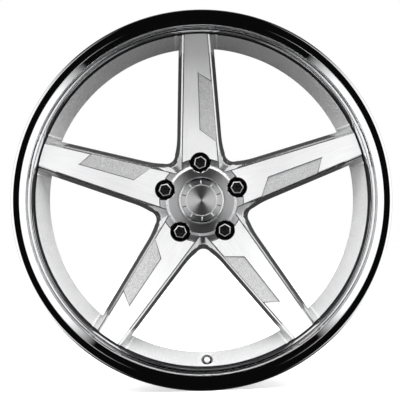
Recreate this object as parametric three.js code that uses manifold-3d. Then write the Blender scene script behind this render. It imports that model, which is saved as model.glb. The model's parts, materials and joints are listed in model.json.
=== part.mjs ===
// A 20 x 10 J forged road-racing wheel with five concave spokes.
//
// The wheel is a bolted assembly. A forged centre (hub and five spokes) sits on five pads inside a
// flow-formed rim barrel and is held by twenty bolts that enter from behind, where the spokes hide
// them. A mirror-polished stainless cover is pressed over the barrel's outboard flange on a bead of
// sealant. Five lug bolts with floating seat rings, a clip-in hub cap and a clamp-in tyre valve
// complete it.
//
// Frame: millimetres, +Z up, the wheel's axle along Y, the outboard face towards -Y. The origin is
// on the axle, midway between the two rim flanges. "Out" is the distance outboard of the origin, so
// y = -out. The first spoke points up and the valve is at the bottom.

import * as THREE from "three";
import { mergeVertices } from "three/addons/utils/BufferGeometryUtils.js";
import Module from "manifold-3d";

const wasm = await Module();
wasm.setup();

// ---------------------------------------------------------------- driving dimensions

const SPOKES = 5;
const SECTOR = (2 * Math.PI) / SPOKES;

const RIM_HALF_WIDTH = 127; // 10 in between the flanges' inner faces
const BEAD_RADIUS = 256.4; // 20 in bead seat
const FLANGE_RADIUS = 273.9; // bead seat plus a 17.5 mm J flange
const FLANGE_THICKNESS = 11.5;
const RIM_FRONT = RIM_HALF_WIDTH + FLANGE_THICKNESS;

const GAP = 0.3; // between pieces that touch
const COVER_THICKNESS = 1.2;

const HUB_FACE = 30; // offset of the mounting face, outboard of the centreline
const HUB_BACK_RADIUS = 72.7;
const BORE_RADIUS = 33.3; // 66.6 mm centre bore
const CAP_BORE_RADIUS = 30;
const CAP_SEAT = 60; // out of the ledge that the cap's flange rests on

const LUG_CIRCLE = 56; // 5 x 112 bolt pattern
const LUG_POCKET_RADIUS = 14.2;
const LUG_SEAT_TOP = 42;
const LUG_SEAT_RADIUS = 13.4;
const LUG_HOLE_RADIUS = 8;
const LUG_CONE_DEPTH = (LUG_SEAT_RADIUS - LUG_HOLE_RADIUS) / Math.tan(Math.PI / 6);

// The silver cone inside the outboard bead seat, seen between the spokes.
const CONE_FRONT = { r: 244.5, out: 88 };
const CONE_BACK = { r: 225.5, out: 42 };
const CONE_SLOPE = (CONE_FRONT.out - CONE_BACK.out) / (CONE_FRONT.r - CONE_BACK.r);
const WALL = 5.5;

const PAD_TOP = CONE_BACK.out;
const PAD_THICKNESS = 12;
const PAD_INNER_RADIUS = 197;
const PAD_HALF_WIDTH = 25.5;

const SPOKE_TIP = 243.2;
const SPOKE_ROOT = 61;
const FACE_AT_ROOT = 61; // out of the brushed face where it meets the hub
const FACE_CURVE_RADIUS = 534;
const BEVEL_WIDTH = 4;
const BEVEL_DEPTH = 3;

const CENTRE_BOLT_RADIUS = 4; // M8
const BARREL_HOLE_RADIUS = 4.9;
const CENTRE_HOLE_RADIUS = 4.6;
const CENTRE_BOLT_ROWS = [204, 218];
const CENTRE_BOLT_OFFSET = 17;

const VALVE = { r: 235.5, out: 66, tilt: THREE.MathUtils.degToRad(15) };
const VALVE_POCKET_RADIUS = 8.6;
const VALVE_FLOOR = -12; // along the valve's axis from the cone's surface
const VALVE_SEAT = -17;
const VALVE_HOLE_RADIUS = 5.8; // 11.3 mm hole plus a little clearance for the stem's shoulder
const VALVE_BOSS_RADIUS = 12.6;
const VALVE_SPOT_FACE_RADIUS = 9.4;

const RIM_SEGMENTS = 60;
const HUB_SEGMENTS = 60;
const SMALL_SEGMENTS = 20;
const CAP_SEGMENTS = 40;
const BOLT_SEGMENTS = 8;
const VALVE_SEGMENTS = 16;

// ---------------------------------------------------------------- materials

const finish = (color, metalness, roughness) =>
  new THREE.MeshStandardMaterial({ color, metalness, roughness });

const silverForging = finish(0xd2d3d5, 0.9, 0.35);
const silverBarrel = finish(0xc6c8ca, 0.85, 0.4);
const mirrorSteel = finish(0xf0f2f4, 1.0, 0.04);
const blackSteel = finish(0x0d0d0e, 0.9, 0.25);
const zincSteel = finish(0x9a9c9f, 1.0, 0.35);
const turnedAluminium = finish(0xb9babc, 1.0, 0.3);
const blackRubber = finish(0x141414, 0.0, 0.8);
const greySealant = finish(0x2a2b2c, 0.0, 0.7);
const brass = finish(0xb08a4a, 1.0, 0.3);

// ---------------------------------------------------------------- shape helpers

// A closed geometry as a manifold-3d solid.
function solidOf(geometry) {
  const bare = geometry.clone();
  bare.deleteAttribute("normal");
  bare.deleteAttribute("uv");
  const merged = mergeVertices(bare, 1e-4);
  return new wasm.Manifold(
    new wasm.Mesh({
      numProp: 3,
      vertProperties: new Float32Array(merged.attributes.position.array),
      triVerts: new Uint32Array(merged.index.array),
    }),
  );
}

function geometryOf(solid) {
  const mesh = solid.getMesh();
  const geometry = new THREE.BufferGeometry();
  geometry.setAttribute("position", new THREE.BufferAttribute(mesh.vertProperties, 3));
  geometry.setIndex(new THREE.BufferAttribute(mesh.triVerts, 1));
  geometry.computeVertexNormals();
  return geometry;
}

// A body turned about the axle. The profile lists [radius, out] pairs: inboard along the body's
// outer side, then outboard along its inner side. A solid body's profile starts and ends at radius 0.
function turned(profile, segments) {
  const points = profile.map(([r, out]) => new THREE.Vector2(r, -out));
  const closed = profile[0][0] === 0 ? points : [...points, points[0]];
  return new THREE.LatheGeometry(closed, segments);
}

const turnedSolid = (profile, segments) => solidOf(turned(profile, segments));

// A prism across a spoke: an outline of [radius, out] pairs, from one side offset to another.
function acrossSpoke(outline, from, to) {
  const shape = new THREE.Shape(outline.map(([r, out]) => new THREE.Vector2(r, -out)));
  const geometry = new THREE.ExtrudeGeometry(shape, { depth: to - from, bevelEnabled: false });
  // The shape's x is the radius and its y is +Y; the extrusion runs along X once x becomes Z.
  const basis = new THREE.Matrix4().makeBasis(
    new THREE.Vector3(0, 0, 1),
    new THREE.Vector3(0, 1, 0),
    new THREE.Vector3(-1, 0, 0),
  );
  return geometry.applyMatrix4(basis).translate(-from, 0, 0);
}

// A solid with a polygon section at each of several stations, all with the same number of corners.
function loft(sections) {
  const corners = sections[0].length;
  const last = (sections.length - 1) * corners;
  const index = [];
  for (let s = 0; s < sections.length - 1; s++)
    for (let c = 0; c < corners; c++) {
      const a = s * corners + c;
      const b = s * corners + ((c + 1) % corners);
      index.push(a, b, a + corners, b, b + corners, a + corners);
    }
  for (let c = 1; c < corners - 1; c++) {
    index.push(0, c + 1, c);
    index.push(last, last + c, last + c + 1);
  }
  const geometry = new THREE.BufferGeometry();
  geometry.setAttribute("position", new THREE.Float32BufferAttribute(sections.flat(2), 3));
  geometry.setIndex(index);
  return geometry;
}

// A cylinder along Y between two out values.
function rod(radius, outFrom, outTo, segments = SMALL_SEGMENTS) {
  const length = Math.abs(outTo - outFrom);
  return new THREE.CylinderGeometry(radius, radius, length, segments).translate(
    0,
    -(outFrom + outTo) / 2,
    0,
  );
}

// The same shape at every spoke.
const atSpoke = (geometry, k) => geometry.clone().rotateY(k * SECTOR);
const allSpokes = (geometry) =>
  wasm.Manifold.union(
    Array.from({ length: SPOKES }, (_, k) => solidOf(atSpoke(geometry, k))),
  );

const wheel = new THREE.Group();

function piece(name, geometry, material, parent = wheel) {
  const mesh = new THREE.Mesh(geometry, material);
  mesh.name = name;
  parent.add(mesh);
  return mesh;
}

// ---------------------------------------------------------------- lip cover

// The polished surface, from the edge rolled behind the flange to the ledge beside the spoke tips.
const LIP_FACE = [
  [FLANGE_RADIUS, 129],
  [FLANGE_RADIUS, 134.5],
  [272.4, 137.4],
  [269.6, RIM_FRONT],
  [261, RIM_FRONT],
  [252.3, 129.4],
  [250.6, 98.6],
  [248.4, 98.2],
  [246.2, 94.6],
];

// A line parallel to a profile, on its inner side, found from the normals of the two edges that
// meet at each point.
function offsetProfile(points, distance) {
  const vectors = points.map(([r, out]) => new THREE.Vector2(r, out));
  const normal = (a, b) => {
    const d = b.clone().sub(a).normalize();
    return new THREE.Vector2(-d.y, d.x);
  };
  return vectors.map((p, i) => {
    const before = i ? normal(vectors[i - 1], p) : normal(p, vectors[1]);
    const after = i < vectors.length - 1 ? normal(p, vectors[i + 1]) : before;
    const middle = before.clone().add(after).normalize();
    const reach = distance / middle.dot(before);
    return [p.x + middle.x * reach, p.y + middle.y * reach];
  });
}

const coverInside = offsetProfile(LIP_FACE, COVER_THICKNESS);
const barrelFront = offsetProfile(LIP_FACE, COVER_THICKNESS + GAP);

const coverProfile = [...LIP_FACE, ...coverInside.reverse()].reverse();
piece("lip_cover", turned(coverProfile, RIM_SEGMENTS), mirrorSteel);

// ---------------------------------------------------------------- rim barrel

const SEALANT = { inner: 245.2, outer: 248.2, back: 88.6, front: 93 };

function barrelSolid() {
  const tyreSide = [
    [barrelFront[0][0], RIM_HALF_WIDTH],
    [260.4, RIM_HALF_WIDTH],
    [257.4, 125.2],
    [BEAD_RADIUS, 121.8],
    [255.2, 107.5],
    [256.2, 103],
    [CONE_FRONT.r + WALL, 84],
    [CONE_BACK.r + WALL, 40],
    [237.5, -20],
    [255, -90],
    [256.2, -103],
    [255.2, -107.5],
    [BEAD_RADIUS, -121.8],
    [260.4, -RIM_HALF_WIDTH],
    [272.4, -RIM_HALF_WIDTH],
    [FLANGE_RADIUS, -130],
    [FLANGE_RADIUS, -134],
    [270, -138],
    [265, -RIM_FRONT],
  ];
  const hollowSide = [
    [258, -134],
    [250.4, -124],
    [249.4, -96],
    [232, -20],
    [CONE_BACK.r, CONE_BACK.out],
    [CONE_FRONT.r, CONE_FRONT.out],
    [SEALANT.inner - GAP, SEALANT.back - GAP],
    [SEALANT.outer + GAP, SEALANT.back - GAP],
    ...barrelFront.slice(1, -1).reverse(),
  ];
  return turnedSolid([...tyreSide, ...hollowSide], RIM_SEGMENTS);
}

// The inward pad that carries one spoke's foot, with holes for its bolts.
const padProfile = [
  [PAD_INNER_RADIUS, PAD_TOP],
  [PAD_INNER_RADIUS, PAD_TOP - PAD_THICKNESS],
  [CONE_BACK.r + 3, PAD_TOP - PAD_THICKNESS],
  [CONE_BACK.r + 3, PAD_TOP],
];
const pad = acrossSpoke(padProfile, -PAD_HALF_WIDTH, PAD_HALF_WIDTH);

// Cheeks on the cone, one each side of a spoke's foot.
const CHEEK = { height: 3.2, inner: 27.4, outer: 31.2 };
const cheekProfile = [
  [CONE_BACK.r + 2, CONE_BACK.out - 1],
  [CONE_FRONT.r + 1.5, CONE_FRONT.out - 1.5],
  [CONE_FRONT.r - CHEEK.height + 0.8, CONE_FRONT.out - 1.5],
  [CONE_BACK.r - CHEEK.height + 2, CONE_BACK.out + 1],
];
const leftCheek = acrossSpoke(cheekProfile, -CHEEK.outer, -CHEEK.inner);
const rightCheek = acrossSpoke(cheekProfile, CHEEK.inner, CHEEK.outer);

// Shapes on the valve's axis are made along Y about the origin, then moved there.
const valveAxis = new THREE.Group();
valveAxis.position.set(0, -VALVE.out, -VALVE.r);
valveAxis.rotation.x = -VALVE.tilt;
valveAxis.updateMatrix();
const onValveAxis = (geometry) => geometry.clone().applyMatrix4(valveAxis.matrix);

// Each centre bolt's place at the top spoke.
const boltPlaces = CENTRE_BOLT_ROWS.flatMap((r) =>
  [-CENTRE_BOLT_OFFSET, CENTRE_BOLT_OFFSET].map((x) => ({ x, z: r })),
);

function rimBarrel() {
  const hollow = turnedSolid(
    [
      [0, CONE_FRONT.out],
      [CONE_FRONT.r, CONE_FRONT.out],
      [CONE_BACK.r, CONE_BACK.out],
      [CONE_BACK.r - 3, -60],
      [0, -60],
    ],
    RIM_SEGMENTS,
  );
  const boss = solidOf(onValveAxis(rod(VALVE_BOSS_RADIUS, VALVE_SEAT, -4))).subtract(hollow);
  const boltHole = rod(BARREL_HOLE_RADIUS, PAD_TOP - PAD_THICKNESS - 1, PAD_TOP + 1, BOLT_SEGMENTS);
  const holes = boltPlaces.map(({ x, z }) => boltHole.clone().translate(x, 0, z));
  let body = barrelSolid().add(boss);
  body = body.add(allSpokes(pad)).add(allSpokes(leftCheek)).add(allSpokes(rightCheek));
  for (const hole of holes) body = body.subtract(allSpokes(hole));
  body = body.subtract(solidOf(onValveAxis(rod(VALVE_POCKET_RADIUS, VALVE_FLOOR, 30))));
  const spotFace = rod(VALVE_SPOT_FACE_RADIUS, VALVE_SEAT - 14, VALVE_SEAT);
  const valveHole = rod(VALVE_HOLE_RADIUS, VALVE_SEAT - 2, 0, VALVE_SEGMENTS);
  body = body.subtract(solidOf(onValveAxis(spotFace)));
  return body.subtract(solidOf(onValveAxis(valveHole)));
}
piece("rim_barrel", geometryOf(rimBarrel()), silverBarrel);

const sealantProfile = [
  [SEALANT.outer, SEALANT.front],
  [SEALANT.outer, SEALANT.back],
  [SEALANT.inner, SEALANT.back],
  [SEALANT.inner, SEALANT.front],
];
piece("lip_sealant_bead", turned(sealantProfile, RIM_SEGMENTS), greySealant);

// ---------------------------------------------------------------- forged centre

const faceOut = (r) => FACE_AT_ROOT + (r - SPOKE_ROOT) ** 2 / (2 * FACE_CURVE_RADIUS);
const faceHalfWidth = (r) => 26 + (SPOKE_ROOT - r) * 0.0525;
const backHalfWidth = (r) => 33.4 + (90 - r) * 0.0515;
const coneOut = (r) => CONE_BACK.out + (r - CONE_BACK.r) * CONE_SLOPE;

const MOAT = { r: 54, out: 57.2 }; // groove between the hub boss and the spokes' faces
const FOOT_INNER = 192;
const FOOT_OUT = PAD_TOP + GAP;

// One spoke's section: brushed face, bevels, then drafted walls down to the back.
function spokeSection(r, top, bottom) {
  const face = faceHalfWidth(r);
  const half = [
    [face, top],
    [face + BEVEL_WIDTH, top - BEVEL_DEPTH],
    [Math.max(backHalfWidth(r), face + BEVEL_WIDTH + 1), bottom],
  ];
  const right = half.map(([x, out]) => [x, -out, r]);
  const left = half.map(([x, out]) => [-x, -out, r]).reverse();
  return [...right, ...left];
}

function spoke() {
  const stations = [
    [40, MOAT.out - 1, HUB_FACE + 2],
    [MOAT.r, MOAT.out, HUB_FACE + 2],
    [SPOKE_ROOT, FACE_AT_ROOT, HUB_FACE + 2],
  ];
  for (const r of [85, 110, 135, 160, 180])
    stations.push([r, faceOut(r), HUB_FACE + 2 + ((r - SPOKE_ROOT) / 130) * 9]);
  for (const r of [FOOT_INNER, 218, SPOKE_TIP + 2]) stations.push([r, faceOut(r), FOOT_OUT]);
  return loft(stations.map(([r, top, bottom]) => spokeSection(r, top, bottom)));
}

// The turned boundary that the spokes stay inside: the tip circle, then the barrel's cone.
function spokeEnvelope() {
  const clearance = GAP * Math.hypot(1, 1 / CONE_SLOPE);
  return turnedSolid(
    [
      [0, 130],
      [SPOKE_TIP, 130],
      [SPOKE_TIP, coneOut(SPOKE_TIP + clearance)],
      [CONE_BACK.r - clearance, CONE_BACK.out],
      [CONE_BACK.r - clearance, FOOT_OUT - 20],
      [0, FOOT_OUT - 20],
    ],
    RIM_SEGMENTS,
  );
}

// The milled panel along the clockwise edge of each brushed face: a parallelogram that follows the
// face's curve and runs out through the bevel.
const PANEL_DEPTH = 2;
const PANEL = { left: 1.8, right: 29, innerTip: 82.5, inner: 104.5, outer: 168.4, outerTip: 187 };

function panelCutter() {
  const width = PANEL.right - PANEL.left;
  const section = (r) => {
    const cutBelow = Math.max(0, (PANEL.inner - r) / (PANEL.inner - PANEL.innerTip));
    const cutAbove = Math.max(0, (r - PANEL.outer) / (PANEL.outerTip - PANEL.outer));
    const left = PANEL.left + width * Math.min(cutBelow, 0.99);
    const right = PANEL.right - width * Math.min(cutAbove, 0.99);
    const floor = -(faceOut(r) - PANEL_DEPTH);
    return [
      [right, floor, r],
      [right, floor - 20, r],
      [left, floor - 20, r],
      [left, floor, r],
    ].reverse();
  };
  return loft([PANEL.innerTip, PANEL.inner, 125, 147, PANEL.outer, PANEL.outerTip].map(section));
}

// The pocket milled into each spoke's back, which leaves two side ribs.
function backPocket() {
  const at = (r, out, half) => [
    [half, -out, r],
    [half, -HUB_FACE + 10, r],
    [-half, -HUB_FACE + 10, r],
    [-half, -out, r],
  ];
  return loft([at(92, 46, 17), at(140, 52, 15.5), at(186, 62, 14)]);
}

function hubSolid() {
  return turnedSolid(
    [
      [49.4, 61.5],
      [53.6, MOAT.out],
      [56, 56.4],
      [60, 51.5],
      [69.5, 44],
      [HUB_BACK_RADIUS, HUB_FACE],
      [BORE_RADIUS, HUB_FACE],
      [BORE_RADIUS, 50],
      [CAP_BORE_RADIUS, 51.5],
      [CAP_BORE_RADIUS, CAP_SEAT],
      [34, CAP_SEAT],
      [34.6, 63.6],
    ],
    HUB_SEGMENTS,
  );
}

function lugCutter() {
  const coneEnd = LUG_SEAT_TOP - LUG_CONE_DEPTH;
  return turned(
    [
      [0, 90],
      [LUG_POCKET_RADIUS, 90],
      [LUG_POCKET_RADIUS, LUG_SEAT_TOP],
      [LUG_SEAT_RADIUS, LUG_SEAT_TOP],
      [LUG_HOLE_RADIUS, coneEnd],
      [LUG_HOLE_RADIUS, HUB_FACE - 1],
      [0, HUB_FACE - 1],
    ],
    SMALL_SEGMENTS,
  ).translate(0, 0, LUG_CIRCLE);
}

function forgedCentre() {
  const boltHole = rod(CENTRE_HOLE_RADIUS, FOOT_OUT - 1, 56, BOLT_SEGMENTS);
  const bore = turnedSolid(
    [
      [0, 70],
      [CAP_BORE_RADIUS, 70],
      [CAP_BORE_RADIUS, 51.5],
      [BORE_RADIUS, 50],
      [BORE_RADIUS, HUB_FACE - 2],
      [0, HUB_FACE - 2],
    ],
    HUB_SEGMENTS,
  );
  let body = allSpokes(spoke()).intersect(spokeEnvelope()).add(hubSolid()).subtract(bore);
  body = body.subtract(allSpokes(lugCutter())).subtract(allSpokes(panelCutter()));
  body = body.subtract(allSpokes(backPocket()));
  for (const { x, z } of boltPlaces)
    body = body.subtract(allSpokes(boltHole.clone().translate(x, 0, z)));
  return body;
}
piece("forged_centre", geometryOf(forgedCentre()), silverForging);

// ---------------------------------------------------------------- centre bolts

// A socket-head bolt that enters the pad from behind: head inboard, shank towards the spoke.
function centreBolt() {
  const under = PAD_TOP - PAD_THICKNESS - GAP;
  const body = turnedSolid(
    [
      [0, 54],
      [CENTRE_BOLT_RADIUS, 54],
      [CENTRE_BOLT_RADIUS, under],
      [6.5, under],
      [6.5, under - 8],
      [0, under - 8],
    ],
    BOLT_SEGMENTS,
  );
  return geometryOf(body.subtract(solidOf(rod(3.4, under - 9, under - 4, 6))));
}

const bolt = centreBolt();
for (let k = 0; k < SPOKES; k++) {
  const spokeGroup = new THREE.Group();
  spokeGroup.rotation.y = k * SECTOR;
  wheel.add(spokeGroup);
  boltPlaces.forEach(({ x, z }, i) => {
    const mesh = piece(`centre_bolt_${k + 1}_${i + 1}`, bolt, zincSteel, spokeGroup);
    mesh.position.set(x, 0, z);
  });
}

// ---------------------------------------------------------------- lug bolts and their seat rings

const RING_TOP = 45.5;
const RING_BORE_RADIUS = 7.6;
const HEAD_TOP = 58;
const HEX_ACROSS_FLATS = 17;

function seatRing() {
  const coneFoot = 34.4;
  const coneGap = GAP / Math.cos(Math.PI / 6);
  const footRadius =
    LUG_SEAT_RADIUS - (LUG_SEAT_TOP - coneFoot) * Math.tan(Math.PI / 6) - coneGap;
  return turned(
    [
      [13.7, RING_TOP],
      [13.7, LUG_SEAT_TOP + GAP],
      [LUG_SEAT_RADIUS - coneGap, LUG_SEAT_TOP],
      [footRadius, coneFoot],
      [RING_BORE_RADIUS, coneFoot],
      [RING_BORE_RADIUS, RING_TOP - 1.2],
      [RING_BORE_RADIUS + 1.2, RING_TOP],
    ],
    SMALL_SEGMENTS,
  );
}

function lugBolt() {
  const under = RING_TOP + GAP;
  const shank = turnedSolid(
    [
      [0, 49],
      [10.9, 49],
      [11.7, 48],
      [11.7, under],
      [7, under],
      [7, 4.5],
      [5.5, 3],
      [0, 3],
    ],
    SMALL_SEGMENTS,
  );
  const hexRadius = HEX_ACROSS_FLATS / 2 / Math.cos(Math.PI / 6);
  const hex = solidOf(rod(hexRadius, 48.5, HEAD_TOP, 6));
  const chamfer = turnedSolid(
    [
      [0, HEAD_TOP],
      [6.8, HEAD_TOP],
      [hexRadius, HEAD_TOP - 2.2],
      [hexRadius, 47],
      [0, 47],
    ],
    SMALL_SEGMENTS,
  );
  return geometryOf(shank.add(hex.intersect(chamfer)));
}

const ring = seatRing();
const lug = lugBolt();
for (let k = 0; k < SPOKES; k++) {
  const place = new THREE.Group();
  place.position.set(
    LUG_CIRCLE * Math.sin(k * SECTOR),
    0,
    LUG_CIRCLE * Math.cos(k * SECTOR),
  );
  wheel.add(place);
  piece(`lug_seat_ring_${k + 1}`, ring, blackSteel, place);
  piece(`lug_bolt_${k + 1}`, lug, blackSteel, place);
}

// ---------------------------------------------------------------- hub cap

const CAP_RADIUS = 33.4;
const DIAL_RADIUS = 30.6;
const FINGER_SLOTS = 6;

function capBody() {
  const cup = turnedSolid(
    [
      [CAP_RADIUS, 63.4],
      [CAP_RADIUS, CAP_SEAT + GAP],
      [29.4, CAP_SEAT + GAP],
      [29.4, 47.5],
      [28.6, 46],
      [27.2, 46],
      [27.2, CAP_SEAT],
      [0, CAP_SEAT],
      [0, 63.4],
    ],
    CAP_SEGMENTS,
  );
  let body = cup;
  const slot = new THREE.BoxGeometry(4, 12, 70).translate(0, -51, 0);
  for (let k = 0; k < FINGER_SLOTS / 2; k++)
    body = body.subtract(solidOf(slot.clone().rotateY((k * 2 * Math.PI) / FINGER_SLOTS)));
  return geometryOf(body);
}
piece("cap_body", capBody(), turnedAluminium);

const bezelProfile = [
  [32.4, 66.2],
  [CAP_RADIUS, 65.2],
  [CAP_RADIUS, 63.7],
  [DIAL_RADIUS + GAP, 63.7],
  [DIAL_RADIUS + GAP, 66.2],
];
piece("cap_bezel", turned(bezelProfile, CAP_SEGMENTS), mirrorSteel);

const dialProfile = [
  [0, 66.2],
  [22, 66],
  [DIAL_RADIUS, 65.2],
  [DIAL_RADIUS, 63.7],
  [0, 63.7],
];
piece("cap_dial", turned(dialProfile, CAP_SEGMENTS), turnedAluminium);

const springProfile = [
  [26.9, 50.6],
  [26.9, 49],
  [25.3, 49],
  [25.3, 50.6],
];
piece("cap_spring_ring", turned(springProfile, SMALL_SEGMENTS), zincSteel);

// ---------------------------------------------------------------- tyre valve

// Along the valve's own axis, out = 0 is where the axis meets the cone.
const STEM_RADIUS = 3.85;
const STEM_TOP = 1;
const NUT_BORE_RADIUS = 5.3;
const NUT_HEX_RADIUS = 7.5; // 13 mm across flats

const stemProfile = [
  [1.4, STEM_TOP],
  [STEM_RADIUS, STEM_TOP],
  [STEM_RADIUS, -9],
  [5, -10],
  [5, -19.2],
  [8.4, -19.2],
  [8.4, -21.4],
  [1.2, -21.4],
  [1.2, -9],
  [1.4, -9],
];
piece("valve_stem", turned(stemProfile, VALVE_SEGMENTS), mirrorSteel, valveAxis);

const grommetProfile = [
  [8.6, VALVE_SEAT - GAP],
  [8.6, -18.9],
  [5.3, -18.9],
  [5.3, VALVE_SEAT - GAP],
];
piece("valve_grommet", turned(grommetProfile, VALVE_SEGMENTS), blackRubber, valveAxis);

const washerProfile = [
  [7.8, VALVE_FLOOR + 1.5],
  [7.8, VALVE_FLOOR + GAP],
  [NUT_BORE_RADIUS, VALVE_FLOOR + GAP],
  [NUT_BORE_RADIUS, VALVE_FLOOR + 1.5],
];
piece("valve_washer", turned(washerProfile, VALVE_SEGMENTS), mirrorSteel, valveAxis);

function valveNut() {
  const outer = solidOf(rod(NUT_HEX_RADIUS, VALVE_FLOOR + 1.8, -5.5, 6));
  return geometryOf(outer.subtract(solidOf(rod(NUT_BORE_RADIUS, -11, -5, VALVE_SEGMENTS))));
}
piece("valve_nut", valveNut(), mirrorSteel, valveAxis);

const pinProfile = [
  [0, STEM_TOP - 0.5],
  [0.8, STEM_TOP - 0.5],
  [0.8, -6],
  [0, -6],
];
piece("valve_core_pin", turned(pinProfile, 10), brass, valveAxis);

const capWallProfile = [
  [0, 4.4],
  [3.9, 4.4],
  [4.75, 3.5],
  [4.75, -5],
  [4.3, -5],
  [4.3, 3],
  [0, 3],
];
piece("valve_cap", turned(capWallProfile, VALVE_SEGMENTS), mirrorSteel, valveAxis);

const gasketProfile = [
  [3.9, 2.7],
  [3.9, STEM_TOP + GAP],
  [2.2, STEM_TOP + GAP],
  [2.2, 2.7],
];
piece("valve_cap_gasket", turned(gasketProfile, VALVE_SEGMENTS), blackRubber, valveAxis);

wheel.add(valveAxis);

export default wheel;
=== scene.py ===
# %% [markdown]
# # A forged racing wheel, finished in Blender
# The wheel is a bolted assembly: a forged centre with five concave spokes, a spun rim barrel, a
# mirror-polished lip cover, lug bolts with floating seat rings, a hub cap and a tyre valve. The
# frame loads every piece as a plain solid in its right place. This script gives each one its fine
# shape and its finish, piece by piece, and then sets up a small studio round it.

# %% Load the frame
import json
import math

import bmesh
import bpy
from mathutils import Matrix, Vector

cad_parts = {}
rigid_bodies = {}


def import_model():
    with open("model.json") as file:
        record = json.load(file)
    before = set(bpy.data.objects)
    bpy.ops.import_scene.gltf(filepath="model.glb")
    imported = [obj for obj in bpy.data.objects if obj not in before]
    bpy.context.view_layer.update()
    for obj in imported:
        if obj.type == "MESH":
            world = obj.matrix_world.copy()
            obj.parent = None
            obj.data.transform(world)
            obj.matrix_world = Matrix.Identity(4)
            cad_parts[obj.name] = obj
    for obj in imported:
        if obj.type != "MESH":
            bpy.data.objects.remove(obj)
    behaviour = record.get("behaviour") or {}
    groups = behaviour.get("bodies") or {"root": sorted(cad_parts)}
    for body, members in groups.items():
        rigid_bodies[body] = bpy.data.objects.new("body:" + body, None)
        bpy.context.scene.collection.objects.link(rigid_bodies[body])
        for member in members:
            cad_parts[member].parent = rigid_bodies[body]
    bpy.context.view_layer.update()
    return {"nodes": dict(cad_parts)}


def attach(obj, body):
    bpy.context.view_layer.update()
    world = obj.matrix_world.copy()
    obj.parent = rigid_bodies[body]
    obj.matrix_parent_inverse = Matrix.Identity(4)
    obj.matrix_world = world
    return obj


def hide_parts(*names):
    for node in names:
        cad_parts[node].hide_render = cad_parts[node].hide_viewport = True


for default in list(bpy.data.objects):
    bpy.data.objects.remove(default)
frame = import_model()

# %% [markdown]
# ## The dimensions that the pieces share
# A wheel is drawn by its radius from the axle and by how far a point stands outboard of the rim's
# centreline, which is called "out" here. Both are in millimetres. Blender works in metres, and the
# axle lies along Y with the outboard face towards -Y, so a small function turns one into the other.

# %% Units and shared dimensions
MM = 0.001
SPOKES = 5
SECTOR = 2 * math.pi / SPOKES

FLANGE_RADIUS = 273.9
RIM_FRONT = 138.5
CONE_FRONT = (244.5, 88.0)
CONE_BACK = (225.5, 42.0)
LUG_CIRCLE = 56.0
VALVE_TILT = math.radians(15)
VALVE_PLACE = (0, -66 * MM, -235.5 * MM)


def at(across, out, up):
    """A point in metres from millimetres: across is +X, out is -Y and up is +Z."""
    return Vector((across * MM, -out * MM, up * MM))


def cone_radius(out):
    """The radius of the silver cone behind the spoke tips."""
    share = (out - CONE_BACK[1]) / (CONE_FRONT[1] - CONE_BACK[1])
    return CONE_BACK[0] + share * (CONE_FRONT[0] - CONE_BACK[0])


print("wheel radius", FLANGE_RADIUS, "mm, half width", RIM_FRONT, "mm")

# %% [markdown]
# ## Drawing a line by extruding a point
# Turned pieces start as half of their cross-section. By hand, one vertex is placed and extruded
# from corner to corner, and the line is then spun about the axle. A plane collapsed to its centre
# gives that first vertex. Sharp corners never survive on a real casting or a spun rim, so each
# corner may be given a radius, and is drawn as a short arc.


# %% Line-drawing helpers
def deselect_all():
    if bpy.context.mode != "OBJECT":
        bpy.ops.object.mode_set(mode="OBJECT")
    bpy.ops.object.select_all(action="DESELECT")


def rounded(corners, closed=False, step=18):
    """Points along a line of (radius, out, fillet) corners, with each fillet drawn as an arc."""
    places = [Vector((c[0], c[1])) for c in corners]
    points = []
    for i, corner in enumerate(corners):
        fillet = corner[2] if len(corner) > 2 else 0
        inner = closed or 0 < i < len(corners) - 1
        if not fillet or not inner:
            points.append(places[i])
            continue
        back = (places[i - 1] - places[i]).normalized()
        ahead = (places[(i + 1) % len(places)] - places[i]).normalized()
        half = back.angle(ahead) / 2
        reach = fillet / math.tan(half)
        turn = math.pi - 2 * half
        centre = places[i] + (back + ahead).normalized() * (fillet / math.sin(half))
        first = places[i] + back * reach - centre
        steps = max(2, round(math.degrees(turn) / step))
        sign = 1 if back.x * ahead.y - back.y * ahead.x < 0 else -1
        for s in range(steps + 1):
            angle = sign * turn * s / steps
            cos, sin = math.cos(angle), math.sin(angle)
            points.append(
                centre + Vector((first.x * cos - first.y * sin, first.x * sin + first.y * cos))
            )
    return points


def draw_line(name, points, closed=False):
    """A new object, left in edit mode, whose vertices were extruded through the points."""
    deselect_all()
    bpy.ops.mesh.primitive_plane_add(size=1 * MM)
    bpy.context.object.name = name
    bpy.ops.object.mode_set(mode="EDIT")
    bpy.ops.mesh.select_all(action="SELECT")
    bpy.ops.mesh.merge(type="CENTER")
    bpy.ops.transform.translate(value=points[0])
    for before, after in zip(points, points[1:]):
        bpy.ops.mesh.extrude_region_move(TRANSFORM_OT_translate={"value": after - before})
    if closed:
        bpy.ops.mesh.select_all(action="DESELECT")
        mesh = bmesh.from_edit_mesh(bpy.context.object.data)
        for vertex in mesh.verts:
            vertex.select = len(vertex.link_edges) == 1
        bmesh.update_edit_mesh(bpy.context.object.data)
        bpy.ops.mesh.edge_face_add()
    bpy.ops.mesh.select_all(action="SELECT")
    return bpy.context.object


def number_points(obj, points):
    """Gives each vertex of a line in edit mode the number of the point that it was drawn at."""
    mesh = bmesh.from_edit_mesh(obj.data)
    order = mesh.verts.layers.int.new("order")
    for vertex in mesh.verts:
        vertex[order] = min(range(len(points)), key=lambda i: (points[i] - vertex.co).length)
    bmesh.update_edit_mesh(obj.data)


def tidy_mesh():
    """Merges seams and poles of the mesh in edit mode, and turns its faces outwards."""
    bpy.ops.mesh.select_all(action="SELECT")
    bpy.ops.mesh.remove_doubles(threshold=0.002 * MM)
    bpy.ops.mesh.normals_make_consistent(inside=False)
    bpy.ops.object.mode_set(mode="OBJECT")


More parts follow.
